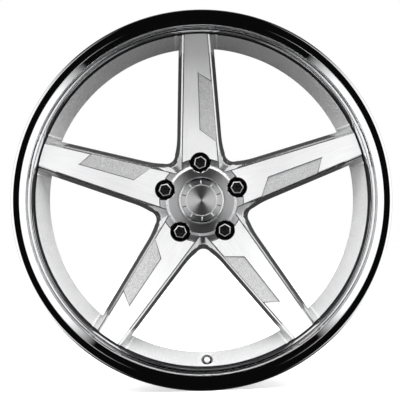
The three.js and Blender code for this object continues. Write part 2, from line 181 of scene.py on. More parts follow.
def turned(name, corners, steps=96, step=18, closed=True):
    """A body spun about the axle from corners of (radius, out, fillet) in millimetres."""
    line = rounded(corners, closed, step)
    obj = draw_line(name, [at(0, p.y, p.x) for p in line], closed)
    bpy.ops.mesh.spin(steps=steps, angle=2 * math.pi, center=(0, 0, 0), axis=(0, 1, 0))
    tidy_mesh()
    return obj


def smooth(obj, angle=30):
    deselect_all()
    obj.select_set(True)
    bpy.context.view_layer.objects.active = obj
    bpy.ops.object.shade_smooth_by_angle(angle=math.radians(angle))
    return obj


def apply_place(obj):
    deselect_all()
    obj.select_set(True)
    bpy.context.view_layer.objects.active = obj
    bpy.ops.object.transform_apply(location=True, rotation=True, scale=True)
    return obj


def boolean(obj, other, operation):
    """Applies a Boolean modifier, then removes the other body."""
    deselect_all()
    obj.select_set(True)
    bpy.context.view_layer.objects.active = obj
    modifier = obj.modifiers.new("cut", "BOOLEAN")
    modifier.operation = operation
    modifier.solver = "EXACT"
    modifier.object = other
    bpy.ops.object.modifier_apply(modifier=modifier.name)
    bpy.ops.object.mode_set(mode="EDIT")
    bpy.ops.mesh.select_all(action="SELECT")
    bpy.ops.mesh.remove_doubles(threshold=0.002 * MM)
    bpy.ops.mesh.dissolve_degenerate(threshold=0.002 * MM)
    bpy.ops.object.mode_set(mode="OBJECT")
    bpy.data.objects.remove(other)
    return obj


def copied(obj, name, turn=0.0, shift=(0, 0, 0)):
    """A copy with its own mesh, turned about the axle and then shifted."""
    copy = obj.copy()
    copy.data = obj.data.copy()
    copy.name = name
    bpy.context.collection.objects.link(copy)
    copy.data.transform(Matrix.Translation(shift) @ Matrix.Rotation(turn, 4, "Y"))
    return copy


def joined(objects, name):
    deselect_all()
    for obj in objects:
        obj.select_set(True)
    bpy.context.view_layer.objects.active = objects[0]
    bpy.ops.object.join()
    bpy.context.object.name = name
    return bpy.context.object


def report(obj):
    obj.data.calc_loop_triangles()
    print(obj.name, "triangles:", len(obj.data.loop_triangles))


# %% [markdown]
# ## The lip cover
# The bright outer ring is a thin cover, pressed from stainless sheet and polished to a mirror. It
# wraps the rim's flange, sweeps inwards and ends in a small stepped ledge beside the spoke tips. A
# mirror shows every flat facet, so it's spun in 288 steps with generous radii rather than made
# from a low cylinder with a bevel.

# %% Lip cover
LIP_SHEET = 1.2
LIP_FACE = [
    (273.9, 129.0),
    (273.9, 138.5, 4.2),
    (261.0, 138.5, 2.5),
    (252.3, 129.4, 2.5),
    (250.6, 98.6, 1.2),
    (248.4, 98.2, 1.0),
    (246.2, 94.6),
]


def inside_of(line, distance):
    """A line parallel to another one, on its inner side."""
    shifted = []
    for i, point in enumerate(line):
        before = (point - line[i - 1]).normalized() if i else None
        after = (line[i + 1] - point).normalized() if i < len(line) - 1 else None
        direction = ((before or after) + (after or before)).normalized()
        bend = direction.dot(before or after)
        shifted.append(point + Vector((-direction.y, direction.x)) * (distance / max(bend, 0.5)))
    return shifted


lip_line = rounded(LIP_FACE, step=5)
lip_back = inside_of(lip_line, LIP_SHEET)
lip_loop = [(p.x, p.y) for p in lip_line + lip_back[::-1]]
lip = smooth(turned("lip_cover_polished", lip_loop, steps=288), 40)
report(lip)

# %% [markdown]
# ## The rim barrel
# The barrel carries the tyre. From the outboard side it has a bead seat with a safety hump, a
# drop centre that lets the tyre be fitted, and a second bead seat and flange at the back. All of it
# is turned, so it's one spun section. Five pads for the spokes' feet, the cheeks beside the spoke
# tips and the boss for the valve are added with Booleans, because they break the round shape.

# %% Rim barrel: the spun section
BARREL_SECTION = [
    (272.0, 127.0, 0.6),
    (260.4, 127.0, 4),
    (256.5, 122.0, 1),
    (255.3, 107.5, 2),
    (256.3, 103.0, 3),
    (254.6, 94.0, 4),
    (251.0, 82.0, 6),
    (231.0, 40.0, 12),
    (237.5, -20.0, 60),
    (254.4, -90.0, 20),
    (256.3, -103.0, 3),
    (255.3, -107.5, 2),
    (256.5, -122.0, 1),
    (260.4, -127.0, 4),
    (272.6, -127.0, 1),
    (273.9, -130.0, 1),
    (273.9, -138.5, 4.6),
    (262.0, -138.5, 7),
    (250.6, -122.0, 12),
    (249.4, -96.0, 20),
    (232.0, -20.0, 60),
    (225.5, 42.0, 1),
    (243.0, 84.4, 0.5),
    (243.9, 85.9, 0.3),
    (244.3, 88.4, 0.5),
    (248.2, 91.6, 1),
    (252.2, 95.5, 1),
    (254.0, 127.4, 3),
    (262.4, 136.4, 3),
    (271.6, 136.4, 3),
]
barrel = turned("rim_barrel_spun", BARREL_SECTION, steps=240, step=12)
report(barrel)


# %% [markdown]
# ### Pads, cheeks and the valve boss
# Each spoke's foot is bolted to a pad inside the barrel. A cube is scaled to the pad, and its edges
# are bevelled before it's joined to the barrel. The cheeks are low ribs on the silver cone, one
# each side of a spoke's tip, and they lie along the cone's slope.


# %% Block helper, pads and cheeks
def block(name, low, high, bevel=0.0, segments=3):
    """A cube scaled to a box given by (across, out, up) corners in millimetres, edges bevelled."""
    deselect_all()
    size = [abs(h - l) * MM for l, h in zip(low, high)]
    middle = at(*[(l + h) / 2 for l, h in zip(low, high)])
    bpy.ops.mesh.primitive_cube_add(size=1, location=middle, scale=size)
    obj = bpy.context.object
    obj.name = name
    apply_place(obj)
    if bevel:
        bpy.ops.object.mode_set(mode="EDIT")
        bpy.ops.mesh.select_all(action="SELECT")
        bpy.ops.mesh.bevel(offset=bevel * MM, segments=segments, affect="EDGES")
        bpy.ops.object.mode_set(mode="OBJECT")
    return obj


def around(obj, name):
    """Copies of a body at all five spokes, joined."""
    copies = [copied(obj, name, turn=k * SECTOR) for k in range(SPOKES)]
    bpy.data.objects.remove(obj)
    return joined(copies, name)


def rod(name, radius, out_from, out_to, chamfer=0.0, steps=48):
    corners = [(0, out_to), (radius, out_to, chamfer), (radius, out_from, chamfer), (0, out_from)]
    return turned(name, corners, steps=steps, step=30, closed=False)


def bolt_holes(name, radius, out_from, out_to):
    """The four cutters for one spoke's bolt holes."""
    hole = rod(name, radius, out_from, out_to, steps=24)
    holes = [copied(hole, name, shift=at(x, 0, r)) for x, r in BOLT_PLACES]
    bpy.data.objects.remove(hole)
    return joined(holes, name)


BOLT_PLACES = [(x, r) for r in (204, 218) for x in (-17, 17)]
pad = block("pad", (-25.5, 30, 197), (25.5, 42, 228.4), 2.5)
boolean(pad, bolt_holes("pad_holes", 4.5, 28, 44), "DIFFERENCE")
boolean(barrel, around(pad, "pads"), "UNION")

CHEEK_TILT = math.atan2(CONE_FRONT[0] - CONE_BACK[0], CONE_FRONT[1] - CONE_BACK[1])
for side in (-1, 1):
    inner, outer = sorted((side * 27.2, side * 31.4))
    cheek = block("cheek", (inner, -24, -3), (outer, 24, 3.4), 1.8)
    cheek.rotation_euler = (-CHEEK_TILT, 0, 0)
    cheek.location = at(0, 65.6, 234.4)
    boolean(barrel, around(apply_place(cheek), "cheeks"), "UNION")
print("pads and cheeks joined to the barrel")

# %% [markdown]
# ### Holes for the valve and the centre bolts
# Holes are cut last, each with a cylinder that runs right through. The valve sits in a shallow
# round pocket, on an axis tilted towards the axle so that an inflator reaches it.

# %% Valve boss and holes
def on_valve_axis(obj):
    obj.rotation_euler = (-VALVE_TILT, 0, 0)
    obj.location = VALVE_PLACE
    return apply_place(obj)


boolean(barrel, on_valve_axis(rod("valve_boss", 12.6, -17.6, -6, 1.2)), "UNION")
VALVE_CUTS = [
    ("valve_pocket", 8.6, -12, 30),
    ("valve_hole", 5.8, -19, 0),
    ("valve_spot_face", 9.4, -31, -17),
]
for cut in VALVE_CUTS:
    boolean(barrel, on_valve_axis(rod(*cut)), "DIFFERENCE")
smooth(barrel, 35)
report(barrel)

# %% [markdown]
# ## The forged centre
# Seen from the front, a spoke is a brushed face with a thin step down to a silver shoulder, and
# then a drafted wall down to the back. So one fifth of the centre is drawn as an outline that runs
# in from one window's corner, up one side of the spoke, across the tip and back down the other
# side. That outline is extruded from level to level, growing wider as it goes down. The face is
# concave: its height follows one curve of the radius.

# %% The spoke's curves
FACE_AT_ROOT = 61.0
FACE_CURVE_RADIUS = 534.0
SPOKE_TIP = 243.2
TIP_GAP = 0.35
CORNER = math.radians(36)


def face_out(radius):
    return FACE_AT_ROOT + max(0.0, radius - FACE_AT_ROOT) ** 2 / (2 * FACE_CURVE_RADIUS)


def face_half(along):
    return 26 + (61 - along) * 0.0525


def back_half(along):
    return 33.4 + (90 - along) * 0.0515


def back_out(along):
    rise = min(max((along - 61) / 131, 0), 1)
    return 32 + rise * (42.3 - 32)


def bisector_point(distance, sideways):
    """A point given along the line between two spokes, as (across, along) of the spoke."""
    across = distance * math.sin(CORNER) - sideways * math.cos(CORNER)
    along = distance * math.cos(CORNER) + sideways * math.sin(CORNER)
    return across, along


print("spoke face rises from", face_out(61), "to", round(face_out(SPOKE_TIP), 1), "mm")

# %% [markdown]
# ### One level of the outline
# Every level has the same number of points, so that the walls between levels are clean quads. Near
# the hub the outline turns the window's corner. On the face that corner is cut off straight; lower
# down it's an arc that the spoke's walls flare into.

# %% Outline of one level
SIDE_POINTS = 26
CORNER_POINTS = 8
TIP_POINTS = 7


def outline(widen, half, near, arc, tip_radius):
    """Half of one level's outline, (across, along), from the bisector to the tip's middle."""
    if arc:
        middle = near + arc
        spread = middle * math.sin(CORNER) - arc
        start = middle * math.cos(CORNER)
        flare = spread - half(start) - widen
        corner = []
        for i in range(CORNER_POINTS):
            swing = (math.pi / 2 - CORNER) * i / CORNER_POINTS
            corner.append(bisector_point(middle - arc * math.cos(swing), arc * math.sin(swing)))
    else:
        start = near / math.cos(CORNER)
        for _ in range(20):
            edge = half(start) + widen
            start = (near - edge * math.sin(CORNER)) / math.cos(CORNER)
        flare = 0.0
        reach = (near * math.sin(CORNER) - (half(start) + widen)) / math.cos(CORNER)
        corner = [bisector_point(near, reach * i / CORNER_POINTS) for i in range(CORNER_POINTS)]
    edge_at_tip = half(tip_radius) + widen
    tip_along = math.sqrt(tip_radius**2 - edge_at_tip**2)
    side = []
    for i in range(SIDE_POINTS):
        share = (i / (SIDE_POINTS - 1)) ** 1.15
        along = start + (tip_along - start) * share
        fade = max(0.0, 1 - (along - start) / 26) ** 2
        side.append((half(along) + widen + flare * fade, along))
    tip = []
    for i in range(1, TIP_POINTS):
        across = edge_at_tip * (1 - i / TIP_POINTS)
        tip.append((across, math.sqrt(tip_radius**2 - across**2)))
    return corner + side + tip + [(0.0, tip_radius)]


def level(widen, half, near, arc, out):
    """One whole level: the right half, then the left half mirrored, as points in metres."""
    tip_out = out(SPOKE_TIP)
    tip_radius = min(SPOKE_TIP, cone_radius(tip_out) - TIP_GAP)
    right = outline(widen, half, near, arc, tip_radius)
    line = right + [(-x, r) for x, r in right[-2::-1]]
    return [at(x, out(math.hypot(x, r)), r) for x, r in line]


def below_face(drop, at_corner):
    """A height under the face, which passes under the hub's groove at the window's corner."""

    def out(radius):
        blend = min(max((radius - 62) / 14, 0), 1)
        return at_corner + (face_out(radius) - drop - at_corner) * blend

    return out


def wall(share):
    """A level part of the way down the wall, by half-width and height."""

    def half(along):
        top = face_half(along) + 3.9
        return top + (max(back_half(along), top + 0.6) - top) * share

    def out(radius):
        top = below_face(4.6, 52.6)(radius)
        return top + (back_out(radius) - top) * share

    return half, out


WALL_HALF, WALL_OUT = wall(0.5)
LOW_HALF, LOW_OUT = wall(0.96)
BACK_HALF, BACK_OUT = wall(1.0)
LEVELS = [
    level(-0.35, face_half, 53.7, 0, face_out),
    level(0.0, face_half, 53.9, 0, below_face(0.35, 57.0)),
    level(1.3, face_half, 54.6, 0, below_face(2.3, 55.6)),
    level(3.3, face_half, 63.6, 9, below_face(3.3, 54.0)),
    level(3.8, face_half, 64.8, 10, below_face(4.2, 53.2)),
    level(0.0, WALL_HALF, 69.4, 11.5, WALL_OUT),
    level(0.0, LOW_HALF, 72.4, 13, LOW_OUT),
    level(-0.9, BACK_HALF, 71.8, 13, BACK_OUT),
]
print("levels:", len(LEVELS), "of", len(LEVELS[0]), "points")

# %% [markdown]
# ### One fifth of the centre
# The first level is drawn by extruding a vertex. Then its edges are extruded once per level, and
# the new vertices are moved to that level's points. The face is closed with a ladder of quads from
# one side of the spoke to the other, so that its curve stays smooth. The back is closed the same
# way. Both meet at the axle, where the five fifths join.


# %% Build one fifth
def mark_row(obj, number):
    """Writes a level's number on the vertices that are selected."""
    mesh = bmesh.from_edit_mesh(obj.data)
    row = mesh.verts.layers.int.get("row") or mesh.verts.layers.int.new("row")
    for vertex in mesh.verts:
        if vertex.select:
            vertex[row] = number
    bmesh.update_edit_mesh(obj.data)


def extrude_level(obj, points):
    """Extrudes the selected edges and moves each new vertex to its place in the next level."""
    bpy.ops.mesh.extrude_edges_move()
    mesh = bmesh.from_edit_mesh(obj.data)
    order = mesh.verts.layers.int["order"]
    for vertex in mesh.verts:
        if vertex.select:
            vertex.co = points[vertex[order]]
    bmesh.update_edit_mesh(obj.data)


def ladder(mesh, row):
    """Closes a level with rungs across the spoke, then a fan to the axle."""
    count = len(row)
    axle = mesh.verts.new((0, row[0].co.y, 0))
    for i in range(count // 2):
        left, right = row[i], row[count - 1 - i]
        ahead, across = row[i + 1], row[count - 2 - i]
        if i < CORNER_POINTS:
            continue
        if ahead is across:
            mesh.faces.new((left, ahead, right))
        else:
            mesh.faces.new((left, ahead, across, right))
    mesh.faces.new(row[: CORNER_POINTS + 1] + row[count - 1 - CORNER_POINTS :] + [axle])


fifth = draw_line("centre_fifth", LEVELS[0])
number_points(fifth, LEVELS[0])
mark_row(fifth, 0)
for number, points in enumerate(LEVELS[1:], 1):
    extrude_level(fifth, points)
    mark_row(fifth, number)
mesh = bmesh.from_edit_mesh(fifth.data)
order = mesh.verts.layers.int["order"]
row_of = mesh.verts.layers.int["row"]
for number in (0, len(LEVELS) - 1):
    row = [vertex for vertex in mesh.verts if vertex[row_of] == number]
    ladder(mesh, sorted(row, key=lambda vertex: vertex[order]))
bmesh.update_edit_mesh(fifth.data)
tidy_mesh()
report(fifth)

# %% [markdown]
# ### Five fifths and the hub
# The fifth is copied round the axle and the copies are merged into one star. The hub is a spun
# body with a flat brushed pad, and it's joined to the star with a Boolean. A round cutter then
# leaves the bright groove between the pad and the spokes' faces.

# %% Star, hub and groove
star = around(fifth, "forged_centre_milled")
bpy.context.view_layer.objects.active = star
bpy.ops.object.mode_set(mode="EDIT")
bpy.ops.mesh.select_all(action="SELECT")
bpy.ops.mesh.remove_doubles(threshold=0.02 * MM)
bpy.ops.mesh.normals_make_consistent(inside=False)
bpy.ops.object.mode_set(mode="OBJECT")

HUB_SECTION = [
    (0, 61.5),
    (49.4, 61.5, 0.8),
    (50.6, 58.4, 1.5),
    (54.5, 55.0),
    (60.0, 51.0),
    (70.6, 42.5, 3),
    (72.7, 30.0, 1),
    (0, 30.0),
]
GROOVE_SECTION = [
    (0, 70.0),
    (62.5, 70.0),
    (62.5, 61.0),
    (61.0, 59.7, 0.4),
    (53.4, 56.9, 3.2),
    (50.7, 56.9),
    (50.7, 46.0),
    (0, 46.0),
]
boolean(star, turned("groove", GROOVE_SECTION, steps=160, step=12, closed=False), "DIFFERENCE")
boolean(star, turned("hub", HUB_SECTION, steps=160, step=15, closed=False), "UNION")
report(star)

# %% [markdown]
# ### Panels, lug pockets and the bore
# Each spoke has a slanted panel milled along one edge. Its cutter is drawn as a section and
# extruded along the spoke, and its walls lean outwards, which gives the panel a shaded rim. The lug
# pockets end in a cone for the seat rings. The backs of the spokes are hollowed to save weight.

# %% Milled panels
PANEL_DEPTH = 1.5
PANEL_RIM = 1.5
PANEL_STEPS = 14


def panel_section(share, grow):
    """One slanted section of the panel's cutter, grown at its open side by the rim."""
    left = Vector((2.0, 187 - share * (187 - 105)))
    right = Vector((21.0 + 5.6 * share, 173.4 - share * (173.4 - 84)))
    slant = (right - left).normalized()
    down = Vector((0, -grow))
    corners = []
    for place, rise in ((left, 0), (left, 1), (left, 2), (right, 2), (right, 1), (right, 0)):
        wide = place + (down if rise else Vector((0, 0)))
        if place is left and rise:
            wide = wide - slant * PANEL_RIM
        height = face_out(math.hypot(*wide)) + (0.05 - PANEL_DEPTH, 0.05, 8)[rise]
        corners.append(at(wide.x, height, wide.y))
    return corners


def loft(name, sections):
    """A closed body extruded from section to section, with both ends filled."""
    obj = draw_line(name, sections[0], closed=True)
    number_points(obj, sections[0])
    for section in sections[1:]:
        extrude_level(obj, section)
    bpy.ops.mesh.select_all(action="SELECT")
    bpy.ops.mesh.fill_holes(sides=0)
    tidy_mesh()
    return obj


sections = [panel_section(0, -PANEL_RIM)]
sections += [panel_section(i / PANEL_STEPS, 0) for i in range(1, PANEL_STEPS)]
sections += [panel_section(1, PANEL_RIM)]
panel = loft("panel", sections)
boolean(star, around(panel, "panels"), "DIFFERENCE")
print("panels milled")

# %% Lug pockets, bore and back pockets
LUG_SECTION = [
    (0, 90),
    (15.6, 90),
    (15.6, 61.9),
    (14.3, 60.2),
    (14.3, 42.0, 0.6),
    (13.4, 42.0, 0.3),
    (8.0, 32.65),
    (8.0, 28.0),
    (0, 28.0),
]
BORE_SECTION = [
    (0, 70),
    (34.9, 70),
    (34.9, 61.3, 0.3),
    (33.9, 60.0, 0.3),
    (30.0, 60.0, 0.4),
    (30.0, 51.5),
    (33.3, 50.0),
    (33.3, 31.0),
    (34.3, 29.5),
    (34.3, 28.0),
    (0, 28.0),
]
lug_cutter = turned("lug_pocket", LUG_SECTION, steps=64, closed=False)
lug_cutter.data.transform(Matrix.Translation(at(0, 0, LUG_CIRCLE)))
boolean(star, around(lug_cutter, "lug_pockets"), "DIFFERENCE")
boolean(star, turned("bore", BORE_SECTION, steps=160, closed=False), "DIFFERENCE")

boolean(star, around(bolt_holes("spoke_holes", 4.3, 40, 56), "spoke_holes"), "DIFFERENCE")


def pocket_section(along, half, floor):
    corners = ((half, floor), (half, 20), (-half, 20), (-half, floor))
    return [at(x, out, along) for x, out in corners]


POCKET_STATIONS = [(92, 16, 44), (96, 17, 46), (140, 15.5, 52), (182, 14, 61), (186, 13, 59)]
back_pocket = loft("back_pocket", [pocket_section(*station) for station in POCKET_STATIONS])
boolean(star, around(back_pocket, "back_pockets"), "DIFFERENCE")
smooth(star, 28)
report(star)

# %% [markdown]
# ## Lug bolts and their seat rings
# A lug bolt is a turned shank and washer face under a hexagon. The hexagon is a six-sided cylinder
# whose outer face is inset and raised, which leaves a chamfer all round that catches the light.
# The seat ring floats on the shank and sits in the pocket's cone.

# %% Lug bolt
HEX_FLATS = 17.0
HEX_CHAMFER = 1.35
HEAD_TOP = 58.0
RING_TOP = 45.5


def hexagon(name, flats, out_from, out_to, chamfer):
    """A hexagon prism along the axle; its outer end is inset and raised into a chamfer."""
    deselect_all()
    bpy.ops.mesh.primitive_cylinder_add(
        vertices=6,
        radius=flats / 2 / math.cos(math.pi / 6) * MM,
        depth=(out_to - chamfer - out_from) * MM,
        location=at(0, (out_from + out_to - chamfer) / 2, 0),
        rotation=(math.pi / 2, 0, 0),
    )
    obj = bpy.context.object
    obj.name = name
    apply_place(obj)
    bpy.ops.object.mode_set(mode="EDIT")
    bpy.ops.mesh.select_mode(type="FACE")
    mesh = bmesh.from_edit_mesh(obj.data)
    for face in mesh.faces:
        face.select = face.normal.y < -0.9
    bmesh.update_edit_mesh(obj.data)
    bpy.ops.mesh.inset(thickness=chamfer * MM, depth=chamfer * MM)
    bpy.ops.mesh.select_mode(type="VERT")
    bpy.ops.object.mode_set(mode="OBJECT")
    return obj


LUG_SHANK = [
    (0, 49),
    (10.9, 49, 0.3),
    (11.7, 48.2, 0.3),
    (11.7, 45.8, 0.4),
    (7.0, 45.8, 0.3),
    (7.0, 32.0),
    (6.55, 31.0),
    (6.55, 5.0, 0.2),
    (5.2, 3.0, 0.3),
    (0, 3.0),
]
lug = turned("lug", LUG_SHANK, steps=64, closed=False)
boolean(lug, hexagon("lug_hexagon", HEX_FLATS, 48.0, HEAD_TOP, HEX_CHAMFER), "UNION")
recess = [(0, 70), (4.2, 70), (4.0, 57.6, 0.2), (3.4, 56.4, 0.3), (0, 56.2)]
boolean(lug, turned("lug_recess", recess, steps=48, closed=False), "DIFFERENCE")
THREAD_PITCH = 1.5


def thread_rings(name, root, crest, pitch, out_from, out_to, steps=48):
    """The crests of a thread, turned as rings."""
    count = int((out_to - out_from) / pitch)
    line = [(root - 0.2, out_to)]
    for i in range(count):
        top = out_to - i * pitch
        line += [(root, top - 0.05), (crest, top - pitch * 0.42), (crest, top - pitch * 0.58)]
        line += [(root, top - pitch * 0.95)]
    line += [(root - 0.2, out_from)]
    return turned(name, line, steps=steps)


thread = thread_rings("lug_thread", 6.4, 7.0, THREAD_PITCH, 5.2, 31.2)
lug = joined([lug, thread], "lug")
smooth(lug, 30)
report(lug)

RING_SECTION = [
    (13.7, RING_TOP, 0.5),
    (13.7, 42.4, 0.3),
    (13.0, 41.9, 0.2),
    (8.72, 34.4, 0.3),
    (7.6, 34.4, 0.2),
    (7.6, RING_TOP - 1.2, 0.2),
    (8.8, RING_TOP, 0.2),
]
seat_ring = smooth(turned("seat_ring", RING_SECTION, steps=64, step=30), 30)
report(seat_ring)

# %% [markdown]
# ## Centre bolts
# Twenty socket-head bolts hold the spokes' feet to the barrel. They enter from behind, so only the
# back of the wheel shows them. The head is knurled with fine flutes by insetting every other side
# face, and has a hexagon socket.

# %% Centre bolt
BOLT_SECTION = [
    (0, 54),
    (3.4, 54, 0.2),
    (4.0, 53.2, 0.2),
    (4.0, 29.7, 0.2),
    (6.5, 29.7, 0.3),
    (6.5, 21.7, 0.9),
    (3.2, 21.7),
    (0, 21.7),
]
centre_bolt = turned("centre_bolt", BOLT_SECTION, steps=36, step=30, closed=False)
bpy.context.view_layer.objects.active = centre_bolt
bpy.ops.object.mode_set(mode="EDIT")
mesh = bmesh.from_edit_mesh(centre_bolt.data)
bpy.ops.mesh.select_all(action="DESELECT")
bpy.ops.mesh.select_mode(type="FACE")
flute = 0
for face in mesh.faces:
    middle = face.calc_center_median()
    radius = math.hypot(middle.x, middle.z) / MM
    around_y = math.degrees(math.atan2(middle.x, middle.z)) / 10
    if radius > 6.4 and 23 < -middle.y / MM < 29 and round(around_y - 0.5) % 2:
        face.select = True
        flute += 1
bmesh.update_edit_mesh(centre_bolt.data)
bpy.ops.mesh.inset(thickness=0.12 * MM, depth=-0.25 * MM, use_individual=True)
bpy.ops.mesh.select_mode(type="VERT")
bpy.ops.object.mode_set(mode="OBJECT")
deselect_all()
bpy.ops.mesh.primitive_cylinder_add(
    vertices=6,
    radius=3.46 * MM,
    depth=5 * MM,
    location=at(0, 23.2, 0),
    rotation=(math.pi / 2, 0, 0),
)
socket = apply_place(bpy.context.object)
boolean(centre_bolt, socket, "DIFFERENCE")
smooth(centre_bolt, 30)
report(centre_bolt)
print("flutes cut:", flute)

# %% [markdown]
# ## The hub cap
# The cap is a turned cup with six sprung fingers that clip into the bore. A bright bezel frames a
# dial with circular tool marks, a thin bright circle and ten index marks. The marks are small
# bars, raised a little, so they catch the light as applied metal marks do.

# %% Cap body, bezel and dial
CAP_SECTION = [
    (0, 63.4),
    (33.4, 63.4, 0.2),
    (33.4, 60.3, 0.3),
    (29.4, 60.3, 0.3),
    (29.4, 47.5),
    (28.6, 46.0, 0.3),
    (27.2, 46.0, 0.3),
    (27.2, 60.0, 1),
    (0, 60.0),
]
cap_body = turned("cap_body_turned", CAP_SECTION, steps=120, step=30, closed=False)
slots = [block("slot", (-2, 44, -36), (2, 57, 36)) for _ in range(3)]
for k, slot in enumerate(slots):
    slot.data.transform(Matrix.Rotation(k * math.pi / 3, 4, "Y"))
    boolean(cap_body, slot, "DIFFERENCE")
smooth(cap_body, 30)

BEZEL_SECTION = [
    (31.9, 66.2, 0.3),
    (33.4, 65.0, 0.5),
    (33.4, 63.7, 0.2),
    (30.9, 63.7, 0.2),
    (30.9, 65.6, 0.3),
]
cap_bezel = smooth(turned("cap_bezel_bright", BEZEL_SECTION, steps=160, step=18), 50)

DIAL_SECTION = [
    (0, 65.7),
    (22.2, 65.45),
    (22.4, 65.75, 0.08),
    (23.0, 65.75, 0.08),
    (23.2, 65.4),
    (30.5, 65.0, 0.15),
    (30.6, 63.7),
    (0, 63.7),
]
cap_dial = turned("cap_dial_turned", DIAL_SECTION, steps=180, step=30, closed=False)
marks = []
for k in range(10):
    mark = block("mark", (-0.62, 65.0, 24.0), (0.62, 65.62, 29.6), 0.12, 1)
    mark.data.transform(Matrix.Rotation(k * math.pi / 5, 4, "Y"))
    marks.append(mark)
cap_dial = smooth(joined([cap_dial] + marks, "cap_dial_turned"), 30)
spring_section = [(26.9, 50.6, 0.7), (26.9, 49, 0.7), (25.3, 49, 0.7), (25.3, 50.6, 0.7)]
cap_spring = smooth(turned("cap_spring_wire", spring_section, steps=96, step=20), 50)
for obj in (cap_body, cap_bezel, cap_dial, cap_spring):
    report(obj)

# %% [markdown]
# ## The tyre valve
# A metal clamp-in valve: a stem that passes through the barrel, a rubber grommet under its foot, a
# washer and a hexagon nut outside, and a plated screw cap. Each is turned along the axle first,
# then tilted to the valve's axis and moved to its place.

# %% Valve pieces
STEM_SECTION = [
    (1.4, 1.0),
    (3.3, 1.0, 0.2),
    (3.85, 0.4, 0.2),
    (3.85, -9.0, 0.3),
    (5.0, -10.0, 0.3),
    (5.0, -19.2, 0.3),
    (8.4, -19.2, 0.5),
    (8.4, -21.4, 0.5),
    (1.2, -21.4, 0.2),
    (1.2, -9.0, 0.2),
    (1.4, -9.0, 0.05),
]
valve_stem = turned("valve_stem_plated", STEM_SECTION, steps=48, step=30)
GROMMET_SECTION = [(8.6, -17.3, 0.4), (8.6, -18.9, 0.4), (5.3, -18.9, 0.2), (5.3, -17.3, 0.2)]
valve_grommet = turned("valve_grommet_rubber", GROMMET_SECTION, steps=48, step=30)
WASHER_SECTION = [(7.8, -10.5, 0.3), (7.8, -11.7, 0.3), (5.3, -11.7, 0.1), (5.3, -10.5, 0.1)]
valve_washer = turned("valve_washer_plated", WASHER_SECTION, steps=48, step=30)
valve_nut = hexagon("valve_nut_plated", 13.0, -10.2, -5.5, 0.5)
boolean(valve_nut, rod("nut_bore", 5.3, -12, -4), "DIFFERENCE")
PIN_SECTION = [(0, 0.5), (0.8, 0.5, 0.25), (0.8, -6.0, 0.1), (0, -6.0)]
valve_pin = turned("valve_core_pin_turned", PIN_SECTION, steps=24, step=30, closed=False)
VALVE_CAP_SECTION = [
    (0, 4.4),
    (3.9, 4.4, 0.8),
    (4.75, 3.2, 0.6),
    (4.75, -5.0, 0.25),
    (4.3, -5.0, 0.1),
    (4.3, 3.0, 0.2),
    (0, 3.0),
]
valve_cap = turned("valve_cap_knurled", VALVE_CAP_SECTION, steps=60, step=15, closed=False)
GASKET_SECTION = [(3.9, 2.7, 0.2), (3.9, 1.3, 0.2), (2.2, 1.3, 0.2), (2.2, 2.7, 0.2)]
valve_gasket = turned("valve_gasket_rubber", GASKET_SECTION, steps=32, step=30)
valve_pieces = [valve_stem, valve_grommet, valve_washer, valve_nut, valve_pin, valve_cap]
valve_pieces.append(valve_gasket)
for obj in valve_pieces:
    smooth(on_valve_axis(obj), 35)
    report(obj)

# %% [markdown]
# ## Where each piece belongs
# Each piece is told which solid it stands for and which body it moves with. Repeated pieces are
# copied to their places here, each copy with its own mesh.

# %% Copies, bodies and replaced solids
pieces = {}


def hand_over(obj, body, slot, *nodes):
    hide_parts(*nodes)
    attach(obj, body)
    pieces.setdefault(slot, []).append(obj)


hand_over(lip, "wheel", "mirror_steel", "lip_cover")
hand_over(barrel, "wheel", "silver_barrel", "rim_barrel")
hand_over(star, "wheel", "brushed_forging", "forged_centre")
for k in range(1, SPOKES + 1):
    turn = (k - 1) * SECTOR
    place = at(LUG_CIRCLE * math.sin(turn), 0, LUG_CIRCLE * math.cos(turn))
    nut_turn = math.radians((11, 29, 3, 41, 20)[k - 1])
    bolt_copy = copied(lug, f"lug_bolt_{k}_forged", nut_turn, place)
    hand_over(bolt_copy, f"bolt_{k}", "black_steel", f"lug_bolt_{k}")
    ring_copy = copied(seat_ring, f"lug_seat_ring_{k}_turned", 0, place)
    hand_over(ring_copy, f"seat_ring_{k}", "black_steel", f"lug_seat_ring_{k}")
    for i, (x, r) in enumerate(BOLT_PLACES, 1):
        screw = copied(centre_bolt, f"centre_bolt_{k}_{i}_socket", 0, at(x, 0, r))
        screw.data.transform(Matrix.Rotation(turn, 4, "Y"))
        hand_over(screw, "wheel", "zinc_steel", f"centre_bolt_{k}_{i}")
for model in (lug, seat_ring, centre_bolt):
    bpy.data.objects.remove(model)
hand_over(cap_body, "hub_cap", "turned_aluminium", "cap_body")
hand_over(cap_bezel, "hub_cap", "chrome_trim", "cap_bezel")
hand_over(cap_dial, "hub_cap", "turned_aluminium", "cap_dial")
hand_over(cap_spring, "hub_cap", "zinc_steel", "cap_spring_ring")
hand_over(valve_stem, "wheel", "chrome_trim", "valve_stem")
hand_over(valve_grommet, "wheel", "black_rubber", "valve_grommet")
hand_over(valve_washer, "wheel", "chrome_trim", "valve_washer")
hand_over(valve_nut, "wheel", "chrome_trim", "valve_nut")
hand_over(valve_pin, "valve_core", "brass", "valve_core_pin")
hand_over(valve_cap, "valve_cap_shell", "chrome_trim", "valve_cap")
hand_over(valve_gasket, "valve_cap_seal", "black_rubber", "valve_cap_gasket")
print("pieces handed over:", sum(len(group) for group in pieces.values()))

# %% [markdown]
# ## How the finishes are made
# Every finish is built from nodes. An effect that several finishes share, such as the turned marks
# or the flakes in the silver paint, is made once as a node group. All patterns read Object
# coordinates, and since no piece is moved or turned, they stay put on the metal.


